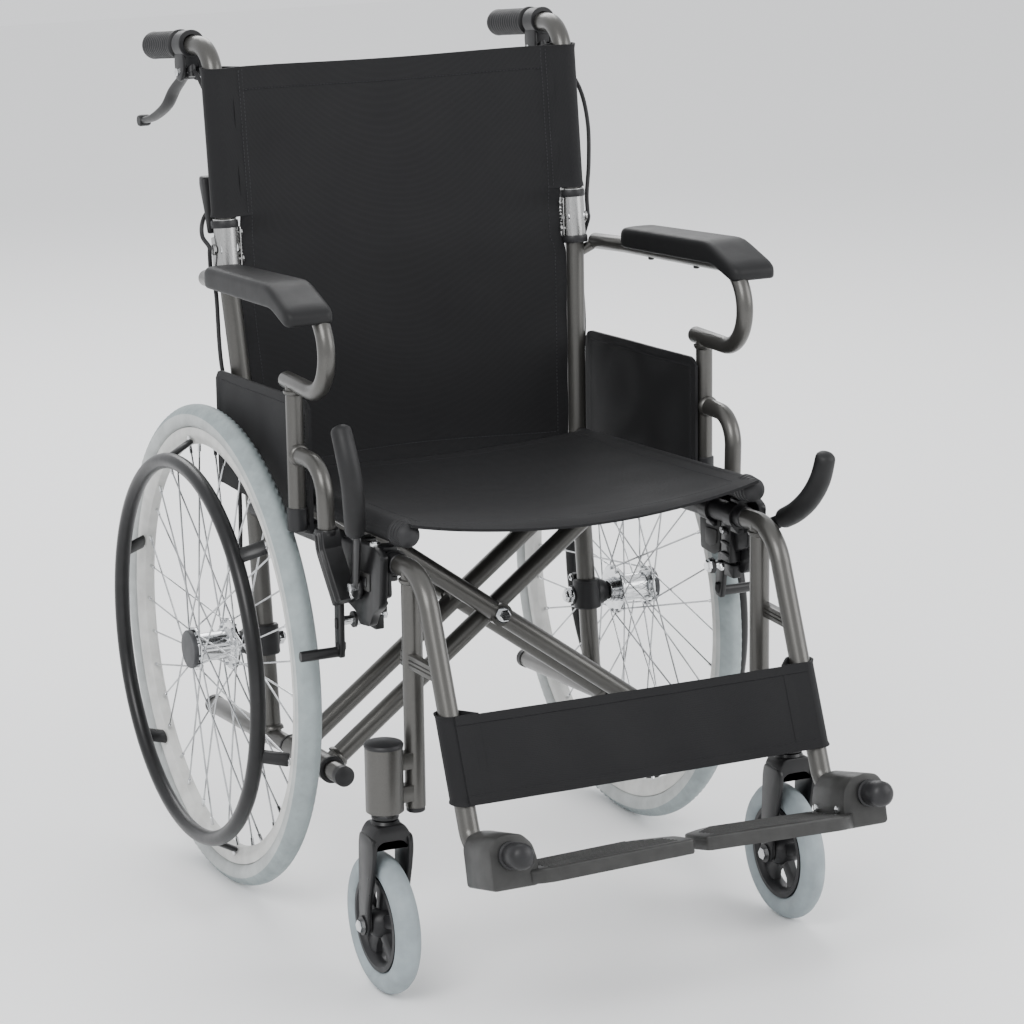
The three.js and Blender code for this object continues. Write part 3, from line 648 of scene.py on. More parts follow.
def end_plugs():
    """The black plug at the front of the footplate's axle, ringed and domed."""
    s = Shape()
    axis = (0, -math.cos(FOOT_TILT), math.sin(FOOT_TILT))
    profile = [(0, 0), (0, 13.6), (2, 14.6), (5, 14.6), (6, 12.6), (12, 12.8)]
    profile += [(14, 13.6), (24, 14), (31, 13), (35, 9.5), (37, 4), (37.4, 0)]
    turned(s, profile, stub_point(93), axis)
    return s


# ---------------------------------------------------------------- cross brace
BRACE_SLOPE = math.atan(RAIL_SLOPE)
BRACE_HEIGHT = (seat_z(0) - bottom_z(0)) * math.cos(BRACE_SLOPE)
BRACE_MID = BRACE_HEIGHT * FRAME_X / (FRAME_X + SEAT_X)


def on_rails(p):
    """A point square to the rails, as a point of this script's frame."""
    c, s = math.cos(BRACE_SLOPE), math.sin(BRACE_SLOPE)
    return (p[0], p[1] * c + p[2] * s, -p[1] * s + p[2] * c + bottom_z(0))


def cross_arm(front, rear):
    """One arm, from the rail under -X up to the seat rail over +X."""
    s = Shape()
    for y in (front, rear):
        low, high = on_rails((-FRAME_X, y, 0)), on_rails((SEAT_X, y, BRACE_HEIGHT))
        rod(s, low, high, TUBE_R, sides=32)
        axis = unit(np.array(high) - np.array(low))
        weld(s, np.array(low) + axis * 18, axis)
        weld(s, np.array(high) - axis * 13, -axis)
        centre = on_rails((0, y, BRACE_MID))
        turned(s, [(-9, 10), (-9, 13.2), (9, 13.2), (9, 10)], centre, (0, 1, 0), sides=32)
    rod(
        s, on_rails((SEAT_X, SEAT_FRONT + 6, BRACE_HEIGHT)), on_rails((SEAT_X, SEAT_REAR, BRACE_HEIGHT)),
        TUBE_R, sides=32,
    )
    rod(s, on_rails((-FRAME_X, front - 14, 0)), on_rails((-FRAME_X, rear + 14, 0)), 14.8, sides=40)
    for y, way in ((front - 14, -1), (rear + 14, 1)):
        along = np.array(on_rails((0, way, 0))) - np.array(on_rails((0, 0, 0)))
        turned(
            s, [(-1, 11.5), (-1, 15.4), (2.6, 15.4), (4.4, 13.4), (4.4, 11.5)], on_rails((-FRAME_X, y, 0)),
            along, 1, closed=True,
        )
    for y, way, base in ((SEAT_FRONT + 8, -1, 15.2), (SEAT_REAR, 1, 13.0)):
        ribs = [(0, 0), (0, base - 1.5), (1.5, base)]
        for k in range(4 if way < 0 else 1):
            ribs += [
                (5.0 + 5.6 * k, base - 0.7 * k), (6.0 + 5.6 * k, base - 1.7 - 0.7 * k),
                (6.8 + 5.6 * k, base - 0.8 - 0.7 * k),
            ]
        ribs += [
            (ribs[-1][0] + 3, ribs[-1][1] * 0.8), (ribs[-1][0] + 5, ribs[-1][1] * 0.45),
            (ribs[-1][0] + 5.6, 0),
        ]
        origin = on_rails((SEAT_X, y, BRACE_HEIGHT))
        turned(s, ribs, origin, np.array(on_rails((0, way, 0))) - np.array(on_rails((0, 0, 0))), 1)
    return s


def mirror_of(shape):
    s = Shape()
    s.points = [(-x, y, z) for x, y, z in shape.points]
    s.faces, s.finishes = list(shape.faces), list(shape.finishes)
    return s


def cross_pivot(front, rear):
    s = Shape()
    a, b = on_rails((0, front, BRACE_MID)), on_rails((0, rear, BRACE_MID))
    rod(s, a, b, 4)
    axis = unit(np.array(b) - np.array(a))
    turned(s, [(0, 0), (0, 9.5), (1.4, 9.5), (1.4, 0)], np.array(a), axis)
    bolt(s, np.array(a), -axis, 7.5, 6)
    bolt(s, np.array(b) - axis * 2, axis, 7.5, 7)
    return s


# ---------------------------------------------------------------- backrest canes, grips and levers
def back_cane():
    s = Shape()
    x = CANE_X
    y = cane_y(HINGE_Z)
    path = [(x, y, HINGE_Z), (x, cane_y(961), 961), (x + 3, 165, 954), (x + 3, 244, 945)]
    tube(s, path, (38, 60), ends=(DOME, FLAT))
    turned(s, [(-10.5, 0), (-10.5, 10.8), (10.5, 10.8), (10.5, 0)], (x, y, HINGE_Z), (1, 0, 0), 1)
    return s


def push_grip():
    """A ribbed rubber grip with a flange towards the user and a domed end."""
    s = Shape()
    front, back = np.array((CANE_X + 3, 158, 954.8)), np.array((CANE_X + 3, 256, 943.7))
    profile = [(0, 11), (0, 15), (1.5, 17.2), (5, 17.4), (7, 15.6)]
    for k in range(12):
        at = 9.5 + k * 6.3
        profile += [(at, 15.0), (at + 1.3, 15.9), (at + 4.3, 15.9), (at + 5.5, 15.0)]
    profile += [(87, 15.6), (91, 16.2), (95.6, 14.5), (98, 10), (98.6, 0)]
    turned(s, profile, front, back - front)
    return s


HAND_PIVOT = (142, 925)


def lever_clamp():
    s = Shape()
    y, z = HAND_PIVOT
    x = CANE_X + 3
    axis = unit((0, 26, -3.3))
    turned(
        s, [(0, 10.6), (0, 15.2), (1, 16), (25, 16), (26, 15.2), (26, 10.6)], (x, 125, 958.8), axis,
        closed=True,
    )
    drop = rounded([(126, 950), (152, 948), (154, 934), (150, 916), (136, 914), (124, 930)], 5)
    for low, high in ((x - 12, x - 7.8), (x + 7.8, x + 12)):
        slab(s, drop, "yz", low, high, 1.2)
    slab(s, rounded([(124, 950), (136, 949), (134, 930), (125, 932)], 3), "yz", x - 8, x + 8, 1)
    rod(s, (x - 13.5, y, z), (x + 13.5, y, z), 3.4, 1)
    bolt(s, (x + 11.5, y, z), (1, 0, 0), 5, 3.5, 1)
    turned(s, [(0, 0), (0, 5.4), (9, 5.4), (9, 4), (14, 4), (14, 0)], (x, 130, 934), (0.1, -0.35, -1))
    return s


def attendant_lever():
    s = Shape()
    y, z = HAND_PIVOT
    x = CANE_X + 3
    turned(s, [(-6.5, 0), (-6.5, 9), (6.5, 9), (6.5, 0)], (x, y, z), (1, 0, 0))
    points, tangents = smooth_route(
        [(x, y, z), (x, 164, 913), (x, 189, 898), (x, 216, 877), (x, 259, 859), (x, 298, 850)], 40,
    )
    sizes = [0.85 + 0.25 * math.sin(math.pi * k / 40) for k in range(41)]
    sweep(s, (points, tangents), circle(7.2, 4.6, 20), 0, (DOME, DOME), sizes=sizes)
    turned(s, [(-7, 0), (-7, 6), (-5, 7), (5, 7), (7, 6), (7, 0)], (x, 297, 850.4), (1, 0, 0), sides=24)
    return s


def fold_bracket():
    """The bright folded-plate bracket that holds the cane upright, with its pin and spring clip."""
    s = Shape()
    x, y, z = CANE_X, cane_y(HINGE_Z), HINGE_Z
    lean = unit((0, CANE_LEAN, 1))

    def shell(level, reach):
        """A U section open to the rear, at a height."""
        outline = []
        centre = cane_y(level)
        for k in range(13):
            a = math.pi * (1 + k / 12)
            outline.append((x + 13.9 * math.cos(a), centre + 14.4 * math.sin(a), level))
        outline.append((x + 13.9, centre + reach, level))
        outline.append((x + 11.9, centre + reach, level))
        for k in range(13):
            a = math.pi * (2 - k / 12)
            outline.append((x + 11.9 * math.cos(a), centre + 12.3 * math.sin(a), level))
        outline.append((x - 11.9, centre + reach, level))
        outline.append((x - 13.9, centre + reach, level))
        return outline

    heights = [z - 21, z - 20, z + 12, z + 15, z + 34, z + 35]
    reaches = [8, 10, 10, 0, -1, -2]
    loft(s, [shell(h, r) for h, r in zip(heights, reaches)])
    for level, r in ((z - 21, 15.6), (z + 33, 15.2)):
        origin = (x, cane_y(level), level)
        turned(
            s, [(-9, 11.6), (-9, r), (-7.5, r + 0.6), (-2, r + 0.6), (-0.5, r), (-0.5, 11.6)], origin, lean,
            1, closed=True,
        )
    rod(s, (x - 15.6, y, z), (x + 15.6, y, z), 4)
    bolt(s, (x + 13.9, y, z), (1, 0, 0), 6.4, 3.6, sides=24)
    bolt(s, (x - 13.9, y, z), (-1, 0, 0), 6.4, 3.6)
    coil(s, (x - 16, y - 3, z - 8), (x - 16, y + 1, z + 14), 2.6, 0.7, 6)
    for level in (z - 12, z + 18):
        rod(s, (x - 13, cane_y(level) - 3, level), (x - 19, cane_y(level) - 3, level), 2.2)
        bolt(s, (x - 17, cane_y(level) - 3, level), (-1, 0, 0), 3.8, 2.4)
    slab(
        s, rounded([(y - 8, z - 22), (y + 2, z - 24), (y + 4, z + 24), (y - 6, z + 26)], 3), "yz", x - 16.2,
        x - 14.6, 0.6,
    )
    return s


def release_lever():
    s = Shape()

    def at(z, off):
        return (cane_y(z) + off, z)

    outline = [
        at(750, 12.6), at(748, 18), at(774, 24), at(802, 34), at(813, 32), at(812, 19), at(776, 14.5),
    ]
    slab(s, rounded(outline, 4), "yz", CANE_X + 2.5, CANE_X + 15.5, 2.6)
    return s


def brake_cable(side):
    """An attendant brake's cable, from the lever down to the clamp by the axle."""
    x = CANE_X
    if side == "left":
        upper = [
            (x + 3, 128, 930), (x + 16, 104, 912), (x + 31, 86, 880), (x + 36, 75, 840), (x + 31, 63, 795),
            (x + 22, 51, 758),
        ]
    else:
        upper = [(x + 3, 128, 930), (x, 112, 918), (x - 4, cane_y(880) + 19, 880)]
        upper += [(x - 5, cane_y(830) + 19, 830), (x - 3, cane_y(790) + 24, 790)]
        upper += [(x + 12, cane_y(764) + 34, 764), (x + 23, cane_y(748) + 14, 748)]
    lower = [
        (x + 17, cane_y(706) + 10, 706), (x + 12, cane_y(680) + 12, 680), (233, cane_y(600) + 12, 600),
        (221, 33, 520),
    ]
    lower += [(219, 33, 440), (221, 32, 370), (225, 24, 325)]
    return upper + [(x + 20.5, cane_y(733) + 1, 737), (x + 20.5, cane_y(733), 729)] + lower


# ---------------------------------------------------------------- armrests
def armrest_tube():
    s = Shape()
    r, low = 9.5, ARM_LOW
    upper = [(248, 46, 702), (ARM_X, -30, 708), (ARM_X, -318, 726), (ARM_X, -318, low), (ARM_X, -198, low)]
    tube(s, upper, (60, 46, 46), r, ends=(DOME, DOME))
    tube(s, [(ARM_X, -224, low), (ARM_X, -224, 471)], r=r, ends=(FLAT, FLAT))
    tube(s, [(ARM_X, -224, 552), (ARM_X - 2, -297, 552), (ARM_X - 4, -297, 470)], 34, r)
    weld(s, (ARM_X, -224, low - 10), (0, 0, -1), r)
    weld(s, (ARM_X, -234.5, 552), (0, -1, 0), r)
    boss_z = 692
    rod(s, (CANE_X + 8, cane_y(boss_z), boss_z), (CANE_X + 28, cane_y(boss_z) + 1, boss_z + 8), 6.2)
    bolt(s, (CANE_X + 27, cane_y(boss_z), boss_z + 7), (1, 0, 0), 5, 3.5, 1)
    for y in (-96, -206):
        bolt(s, (ARM_X, y, 708 - 0.0625 * (y + 30) - 9), (0, 0, -1), 3.6, 3, 1)
    rod(s, (ARM_X, -224, 466), (ARM_X, -224, 492), 11.2, 1)
    rod(s, (ARM_X, -224, 471), (FRAME_X + 9, -224, 459), 6, 1)
    return s


def armrest_pad():
    """A moulded pad with a flat top and soft edges, wider towards its sloping nose."""
    s = Shape()
    inset_of = {
        PAD_FRONT: 8, -315: 5.4, -313: 3, -309.5: 1.2, -304: 0.2, PAD_REAR - 11: 0.2, -44: 1.2, -41: 3.4,
        -39.7: 5.6, PAD_REAR: 8,
    }
    stations = sorted(set(inset_of) | set(range(-298, -50, 9)))

    def level(y, ys, zs):
        return sum(np.interp(y + d, ys, zs) for d in (-9, -3, 3, 9)) / 4

    rings = []
    for y in stations:
        d = inset_of.get(y, 0)
        share = (PAD_REAR - y) / (PAD_REAR - PAD_FRONT)
        x0, x1 = 238 + 1.5 * share, 283.5 + 11.5 * share
        z0 = level(y, (PAD_FRONT, -262, PAD_REAR), (706, 721, 707.2)) + 0.7 * d
        z1 = level(y, (PAD_FRONT, -250, PAD_REAR), (724.5, 746.5, 731.5)) - 0.9 * d
        crown = 0.8 if d < 1 else 0
        outline = rounded(
            [(x0 + d, z0), (x1 - d, z0), (x1 - d, z1), ((x0 + x1) / 2, z1 + crown), (x0 + d, z1)],
            [4.5, 4.5, 8.5, 30, 8.5], 6,
        )
        rings.append([(x, y, z) for x, z in outline])
    loft(s, rings)
    return s


def skirt(u, v):
    """The side panel's middle surface: u along it, v from its foot up."""
    top = 595 + 14 * (1 - u) - 9 * max(0, 1 - u / 0.05) ** 2 - 10 * max(0, (u - 0.955) / 0.045) ** 2
    y = -232 + 277 * u
    z = 463 + (top - 463) * v
    bulge = 1.6 * math.sin(math.pi * v) * math.sin(math.pi * u)
    ripple = 0.5 * math.sin(9 * u + 2 * v) * math.sin(math.pi * u)
    return (237.7 + bulge * 0.5 + ripple, y, z)


# ---------------------------------------------------------------- parking brake
def brake_bracket():
    """The brake's body: a tall folded casing on the top rail, its plates, bolts and ribbed clamp."""
    s = Shape()
    x = FRAME_X
    casing = [
        (-398, 418), (-378, 404), (-370, 390), (-342, 386), (-334, 398), (-306, 404), (-298, 420),
        (-296, top_z(-296) + 6),
    ]
    casing += [(-300, top_z(-300) + 18), (-388, top_z(-388) + 20), (-404, top_z(-404) + 12)]
    slab(s, rounded(casing, 6), "yz", x + 13.5, x + 23.5, 2)
    slab(
        s, rounded([(-392, 426), (-330, 402), (-312, 414), (-308, 452), (-390, 458)], 5), "yz", x + 5,
        x + 14, 1.5,
    )
    for low, high, z0, z1 in ((-1, 13, 402, 449), (3, 14, 384, 399)):
        block(s, (x + low, -364, z0), (x + high, -343, z1), 1.6)
    for z in (411, 424, 437):
        block(s, (x - 3, -362, z - 2.2), (x + 1, -345, z + 2.2), 1)
    slab(
        s, rounded([(-338, 446), (-336, 412), (-322, 403), (-292, 405), (-290, 441)], 4), "yz", x + 1,
        x + 4.4, 1, 3,
    )
    slab(
        s, rounded([(-332, 434), (-331, 418), (-318, 412), (-306, 414), (-305, 432)], 3), "yz", x - 0.6,
        x + 1.4, 0.7, 3,
    )
    for y in (-378, -322):
        z = top_z(y)
        turned(s, [(-9, 12.2), (-9, 15), (9, 15), (9, 12.2)], (x, y, z), (0, 1, 0), closed=True)
        block(s, (x - 4, y - 9, z + 13), (x + 23, y + 9, z + 19), 1.5)
        block(s, (x - 4, y - 9, z - 20), (x + 23, y + 9, z - 12), 1.5)
        rod(s, (x + 18, y, z - 26), (x + 18, y, z + 24), 3, 1)
        bolt(s, (x + 18, y, z + 19), (0, 0, 1), 5.5, 4, 1)
        bolt(s, (x + 18, y, z - 20), (0, 0, -1), 5.5, 5, 1)
    slab(
        s, rounded([(-376, 430), (-334, 426), (-334, 446), (-376, 450)], 3), "yz", x + 23, x + 25.2, 0.8, 3,
    )
    slab(s, rounded([(-370, 434), (-340, 431), (-340, 442), (-370, 445)], 2), "yz", x + 25, x + 26.2, 0.5)
    for y, z in ((-352, 439), (-349, 396)):
        bolt(s, (x - 2, y, z), (-1, 0, 0), 4.6, 4, 1)
    for y, z in ((-350, 430), (-312, 418)):
        rod(s, (x + 12, y, z), (x + 36, y, z), 4, 1)
        bolt(s, (x + 34, y, z), (1, 0, 0), 6, 4, 1)
    neck = [(ARM_X - 4, -297, 482), (ARM_X - 5, -300, 462), (x + 33, -330, 410)]
    ridged = [
        (11, -12), (11, -6), (13.5, -5), (13.5, -2), (11, -1), (11, 3), (13.5, 4), (13.5, 7), (11, 8),
        (10, 12),
    ]
    ridged += [(-10, 12), (-11, 8), (-11, -12)]
    sweep(s, route(neck, 16), ridged)
    turned(
        s, [(0, 9.8), (0, 12.4), (2, 13.4), (5, 13.4), (7, 12.4), (7, 9.8)], (ARM_X - 4, -297, 477),
        (0, 0, 1), closed=True,
    )
    coil(s, (x + 28, -345, 421), (x + 28, -316, 410), 3.4, 0.8, 8, 1)
    return s


def brake_lever():
    s = Shape()
    x = FRAME_X + 30
    turned(
        s, [(0, 0), (0, 12.5), (1, 13.2), (4, 13.2), (5, 12.5), (5, 0)], (x - 4, -350, 430), (1, 0, 0), 0,
    )
    bar = route([(x, -350, 430), (x + 6, -406, 455), (x + 11, -430, 474)], 24)
    sweep(s, bar, circle(3.4, 8, 16), 0, (DOME, DOME))
    points, tangents = smooth_route(
        [
            (x + 8, -409, 458), (x + 12, -436, 473), (x + 15, -460, 493), (x + 18, -477, 518),
            (x + 19, -488, 549),
        ], 44
    )
    sizes = [0.96 + 0.08 * math.sin(math.pi * k / 44) for k in range(45)]
    sweep(s, (points, tangents), circle(11.4, 11.8, 28), 1, (DOME, DOME), sizes=sizes)
    return s


def brake_shoe():
    s = Shape()
    x = FRAME_X + 24.4
    arm = [(-324, 424), (-302, 428), (-293, 410), (-292, 352), (-294, 340), (-308, 340), (-309, 404)]
    slab(s, rounded(arm, 4), "yz", x + 1, x + 7, 1.2)
    path = route([(x + 3, -300, 356), (x + 3, -300, 346), (284, -300, 346)], 5)
    sweep(s, path, circle(6, 4.6, 20), 0, (FLAT, FLAT))
    block(s, (x + 6, -303, 372), (x + 9, -297, 384), 0.8)
    rod(s, (x + 2, -303, 381), (x - 16, -303, 381), 5, 1)
    turned(s, [(0, 0), (0, 9), (3, 9), (3, 0)], (x - 10, -303, 381), (-1, 0, 0))
    bolt(s, (x - 13, -303, 381), (-1, 0, 0), 7.4, 6, 1)
    return s


# ---------------------------------------------------------------- rear wheels
def axle_clamp():
    s = Shape()
    x = FRAME_X
    lean = unit((0, CANE_LEAN, 1))
    turned(
        s, [(-17.5, 11.3), (-17.5, 15.2), (-16, 16.4), (16, 16.4), (17.5, 15.2), (17.5, 11.3)],
        (x, cane_y(282), 282), lean, closed=True,
    )
    turned(s, [(8, 0), (8, 15.5), (22, 15.5), (24, 14), (27, 13), (27, 0)], (x, 0, WHEEL_R), (1, 0, 0))
    turned(s, [(-17.4, 0), (-17.4, 11.5), (-9, 11.5), (-9, 0)], (x, 0, WHEEL_R), (1, 0, 0))
    for z in (270, 298):
        block(s, (x - 8, cane_y(z) + 15, z - 5), (x + 8, cane_y(z) + 24, z + 5), 1.2)
        rod(s, (x - 12, cane_y(z) + 20, z), (x + 12, cane_y(z) + 20, z), 2.6, 1)
        bolt(s, (x - 8.6, cane_y(z) + 20, z), (-1, 0, 0), 4.6, 3.4, 1)
    return s


def rear_axle():
    s = Shape()
    x = FRAME_X - 17.5
    turned(s, [(-1.4, 6), (-1.4, 10.4), (0, 10.4), (0, 6)], (x, 0, WHEEL_R), (1, 0, 0))
    bolt(s, (x - 1.4, 0, WHEEL_R), (-1, 0, 0), 9, 6.5)
    rod(s, (x - 9.5, 0, WHEEL_R), (x + 100, 0, WHEEL_R), 5.8)
    return s


def wheel_point(x, r, angle):
    return np.array((x, r * math.cos(angle), WHEEL_R + r * math.sin(angle)))


def rear_tyre():
    """A solid tyre whose tread is a fine herringbone between two plain bands."""
    s = Shape()
    teeth, steps, sides = 150, 4, 30
    mid, r = WHEEL_R - 15, 14.8
    rings = []
    count = teeth * steps
    for i in range(count):
        a = 2 * math.pi * i / count
        ring = []
        for k in range(sides):
            b = 2 * math.pi * k / sides
            out = math.cos(b)
            rise = 0.0
            if 0.32 < out < 0.93:
                phase = (i / steps + 2.2 * abs(math.sin(b))) % 1
                rise = -1.3 * (1 if phase < 0.42 else 0)
            elif 0.93 <= out:
                rise = 0.2
            flat = max(out, -0.72)
            ring.append(
                wheel_point(
                    WHEEL_X + (r + rise) * math.sin(b) * (1 if out > -0.72 else 0.72),
                    mid + (r + rise) * flat, a,
                )
            )
        rings.append(ring)
    loft(s, rings, closed=True)
    crown = [math.cos(2 * math.pi * (k + 0.5) / sides) > 0.36 for k in range(sides)]
    s.finishes = [int(crown[i % sides]) for i in range(len(s.faces))]
    return s


def rear_rim():
    s = Shape()
    outline = [(-9.6, 254), (9.6, 254), (10.2, 247), (9.4, 243), (7.2, 240), (5.2, 235.4), (0, 233.8)]
    outline += [(-5.2, 235.4), (-7.2, 240), (-9.4, 243), (-10.2, 247)]
    turned(s, outline, (WHEEL_X, 0, WHEEL_R), (1, 0, 0), sides=144, closed=True)
    return s


SPOKES = 36


def rear_hub():
    """The hub, its cap, and thirty-six crossed spokes with their nipples."""
    s = Shape()
    barrel = [
        (239, 0), (239, 12), (240, 13.5), (247.6, 13.5), (247.6, 29), (248.4, 30), (251, 30), (252, 29),
        (252, 20),
    ]
    barrel += [
        (255, 16.5), (289, 16.5), (291, 19), (291, 24), (291.8, 25), (293.6, 25), (294.4, 24), (294.4, 19),
        (296, 19), (296, 0),
    ]
    turned(s, barrel, (0, 0, WHEEL_R), (1, 0, 0))
    cap = [(295.6, 0), (295.6, 20.5), (296.6, 22), (300.8, 22.2), (301.8, 21.4), (302.1, 19.5), (302.1, 0)]
    turned(s, cap, (0, 0, WHEEL_R), (1, 0, 0), 1)
    turned(
        s, [(242.5, 13), (242.5, 15), (244.5, 15), (244.5, 13)], (0, 0, WHEEL_R), (1, 0, 0), 0, closed=True,
    )
    for i in range(SPOKES):
        outer = i % 2 == 0
        rim_angle = 2 * math.pi * i / SPOKES
        lead = math.radians(64) * (1 if i % 4 < 2 else -1)
        flange = (292.7 if outer else 249.8) + (1.9 if i % 8 < 4 else -1.9)
        a = wheel_point(flange, 22 if outer else 26.5, rim_angle + lead)
        b = wheel_point(WHEEL_X + (1.5 if outer else -1.5), 236, rim_angle)
        rod(s, a, b, 1.05, 2, sides=8)
        nipple = b + unit(a - b) * 11
        rod(s, b, nipple, 2.0, 0, sides=8)
        rod(s, a + np.array((-2.4, 0, 0)), a + np.array((2.4, 0, 0)), 1.9, 2, sides=8)
    return s


HANDRIM_R = 219
HANDRIM_X = 303
TABS = 6


def handrim():
    s = Shape()
    ring = [
        (9 * math.cos(2 * math.pi * k / 24), HANDRIM_R + 9 * math.sin(2 * math.pi * k / 24))
        for k in range(24)
    ]
    turned(s, ring, (HANDRIM_X, 0, WHEEL_R), (1, 0, 0), sides=160, closed=True)
    for i in range(TABS):
        angle = 2 * math.pi * (i + 0.3) / TABS
        a, b = wheel_point(WHEEL_X + 9, 237.5, angle), wheel_point(HANDRIM_X - 5, HANDRIM_R + 4, angle)
        tangent = (0, -math.sin(angle), math.cos(angle))
        sweep(s, route([a, b]), circle(9, 3.6, 20), 0, (FLAT, FLAT), side=tangent)
        bolt(s, wheel_point(WHEEL_X + 9.6, 241, angle), (1, 0, 0), 4, 2.4, 1)
    return s


# ---------------------------------------------------------------- casters
def caster_fork():
    """A pressed fork with wide rounded shoulders, its stem, washers and the bright axle bolt."""
    s = Shape()
    x, y = CASTER_X, CASTER_Y
    inner = 18
    leg = [
        (y - 19, 182), (y - 21, 168), (y - 17, 148), (CASTER_AXLE - 13, 100), (CASTER_AXLE - 11, 72),
        (CASTER_AXLE, 65),
    ]
    leg += [(CASTER_AXLE + 11, 72), (CASTER_AXLE + 12, 100), (y + 20, 148), (y + 19, 170), (y + 15, 184)]
    for sign in (-1, 1):
        low, high = sorted((x + sign * inner, x + sign * (inner + 6)))
        slab(s, rounded(leg, 8), "yz", low, high, 1.8)
        turned(
            s, [(0, 0), (0, 10.5), (2.2, 10.5), (2.2, 0)],
            (x + sign * (inner + 5.5), CASTER_AXLE, CASTER_R), (sign, 0, 0),
        )
        bolt(s, (x + sign * (inner + 7.5), CASTER_AXLE, CASTER_R), (sign, 0, 0), 7, 5, 1)
    crown = [
        (x - inner - 6, 168), (x - inner, 164), (x - inner + 6, 174), (x + inner - 6, 174),
        (x + inner, 164), (x + inner + 6, 168),
    ]
    crown += [(x + inner + 4, 184), (x + 15, 194), (x - 15, 194), (x - inner - 4, 184)]
    slab(s, rounded(crown, 5), "xz", y - 17, y + 17, 3)
    turned(
        s, [(0, 0), (0, 15), (2, 15.6), (5, 14), (6, 9), (7, 9), (7, 14.8), (8.5, 14.8), (8.5, 0)],
        (x, y, 192), (0, 0, 1),
    )
    turned(s, [(0, 0), (0, 8.6), (60, 8.6), (60, 0)], (x, y, 197), (0, 0, 1), 1)
    rod(s, (x - inner - 6, CASTER_AXLE, CASTER_R), (x + inner + 6, CASTER_AXLE, CASTER_R), 3.9, 1)
    return s


def caster_wheel():
    """A moulded centre with five windows between its spokes."""
    s = Shape()
    centre = (CASTER_X, CASTER_AXLE, CASTER_R)
    outer = CASTER_R - 27
    rim = [
        (-11, outer + 2), (11, outer + 2), (11.4, outer - 3), (9, outer - 6), (4, outer - 9),
        (-4, outer - 9), (-9, outer - 6), (-11.4, outer - 3),
    ]
    turned(s, rim, centre, (1, 0, 0), sides=80, closed=True)
    turned(
        s, [(-16.5, 4.3), (-16.5, 10), (-14, 13), (-5, 17), (5, 17), (14, 13), (16.5, 10), (16.5, 4.3)],
        centre, (1, 0, 0), closed=True,
    )
    for i in range(5):
        a = 2 * math.pi * (i + 0.25) / 5

        def arm(r, spread_angle, x):
            return (
                CASTER_X + x, CASTER_AXLE + r * math.cos(a + spread_angle),
                CASTER_R + r * math.sin(a + spread_angle),
            )

        rings = []
        for r, spread_angle, deep in (
            (12, 0.62, 7), (22, 0.34, 6), (32, 0.24, 5.4), (outer - 6, 0.3, 6), (outer, 0.32, 6),
        ):
            corners = [(-1, 2 - deep), (-0.6, -deep), (0.6, -deep), (1, 2 - deep)]
            corners += [(1, deep - 2), (0.6, deep), (-0.6, deep), (-1, deep - 2)]
            rings.append([arm(r, spread_angle * k, x) for k, x in corners])
        loft(s, rings)
    return s


def caster_tyre():
    s = Shape()
    mid, r, sides = CASTER_R - 14, 13.8, 28
    ring = []
    for k in range(sides):
        b = 2 * math.pi * k / sides
        out = math.cos(b)
        groove = -0.7 if 0.6 < abs(math.sin(b)) < 0.74 and out > 0 else 0
        ring.append(
            ((r + groove) * math.sin(b) * (0.84 if out < -0.7 else 1), mid + (r + groove) * max(out, -0.86))
        )
    turned(s, ring, (CASTER_X, CASTER_AXLE, CASTER_R), (1, 0, 0), sides=112, closed=True)
    return s


# ---------------------------------------------------------------- footplates
PLATE_TOP = -18.5
PLATE_GAP = 5  # from the middle of the chair to the inner end of a footplate


def on_stub(p):
    """A point of the footplate's own frame: X across, -Y towards the toes, Z square to the axle."""
    c, s = math.cos(-FOOT_TILT), math.sin(-FOOT_TILT)
    return (p[0], p[1] * c - p[2] * s + FOOT_CORNER[0], p[1] * s + p[2] * c + FOOT_CORNER[1])


def footplate():
    s = Shape()
    outline = [(-30, -35), (22, -35), (22, 8), (15, 18), (0, 21.5), (-16, 19), (-27, 8), (-31, -8)]
    slab(s, rounded([(FRAME_X + u, v) for u, v in outline], 5), "xz", -92, -24, 3, place=on_stub)
    outer, inner, front, rear = 186, PLATE_GAP, -108, -22
    corners = [(outer + 4, front + 16), (outer - 14, front + 2), (inner + 2, front), (inner, front + 30)]
    corners += [(inner, rear - 34), (inner + 42, rear), (outer + 4, rear)]
    plan = rounded(corners, [6, 14, 7, 5, 16, 30, 4], 6)
    rise = math.tan(math.radians(1.4))

    def lifted(p):
        return on_stub((p[0], p[1], p[2] + (outer - p[0]) * rise))

    slab(s, plan, "xy", PLATE_TOP - 5, PLATE_TOP, 1.6, place=lifted)
    lip = inset(plan, 0.4)
    inside = inset(plan, 6)
    rings = []
    for outer_ring, level in ((lip, PLATE_TOP - 3), (lip, -32.0), (inset(plan, 1.4), -33.5)):
        rings.append([lifted((u, v, level)) for u, v in outer_ring])
    for inner_ring, level in ((inset(plan, 4.6), -33.5), (inside, -32), (inside, PLATE_TOP - 3)):
        rings.append([lifted((u, v, level)) for u, v in inner_ring])
    loft(s, rings, closed=True)
    for k in range(9):
        y = front + 14 + k * 8
        rod(
            s, lifted((outer - 16, y, PLATE_TOP - 0.4)),
            lifted((inner + 16 + max(0, k - 4) * 7, y, PLATE_TOP - 0.4)), 1.3, sides=10, ends=(DOME, DOME),
        )
    for y in (-80, -36):
        bolt(s, on_stub((FRAME_X - 31, y, -14)), (-1, 0, 0), 4.5, 2.4, 1)
    return s


# ---------------------------------------------------------------- upholstery
def hump(t):
    """1 in the middle of a span from -1 to 1, and 0 with no slope left at its ends."""
    return (1 - min(1, t * t)) ** 2


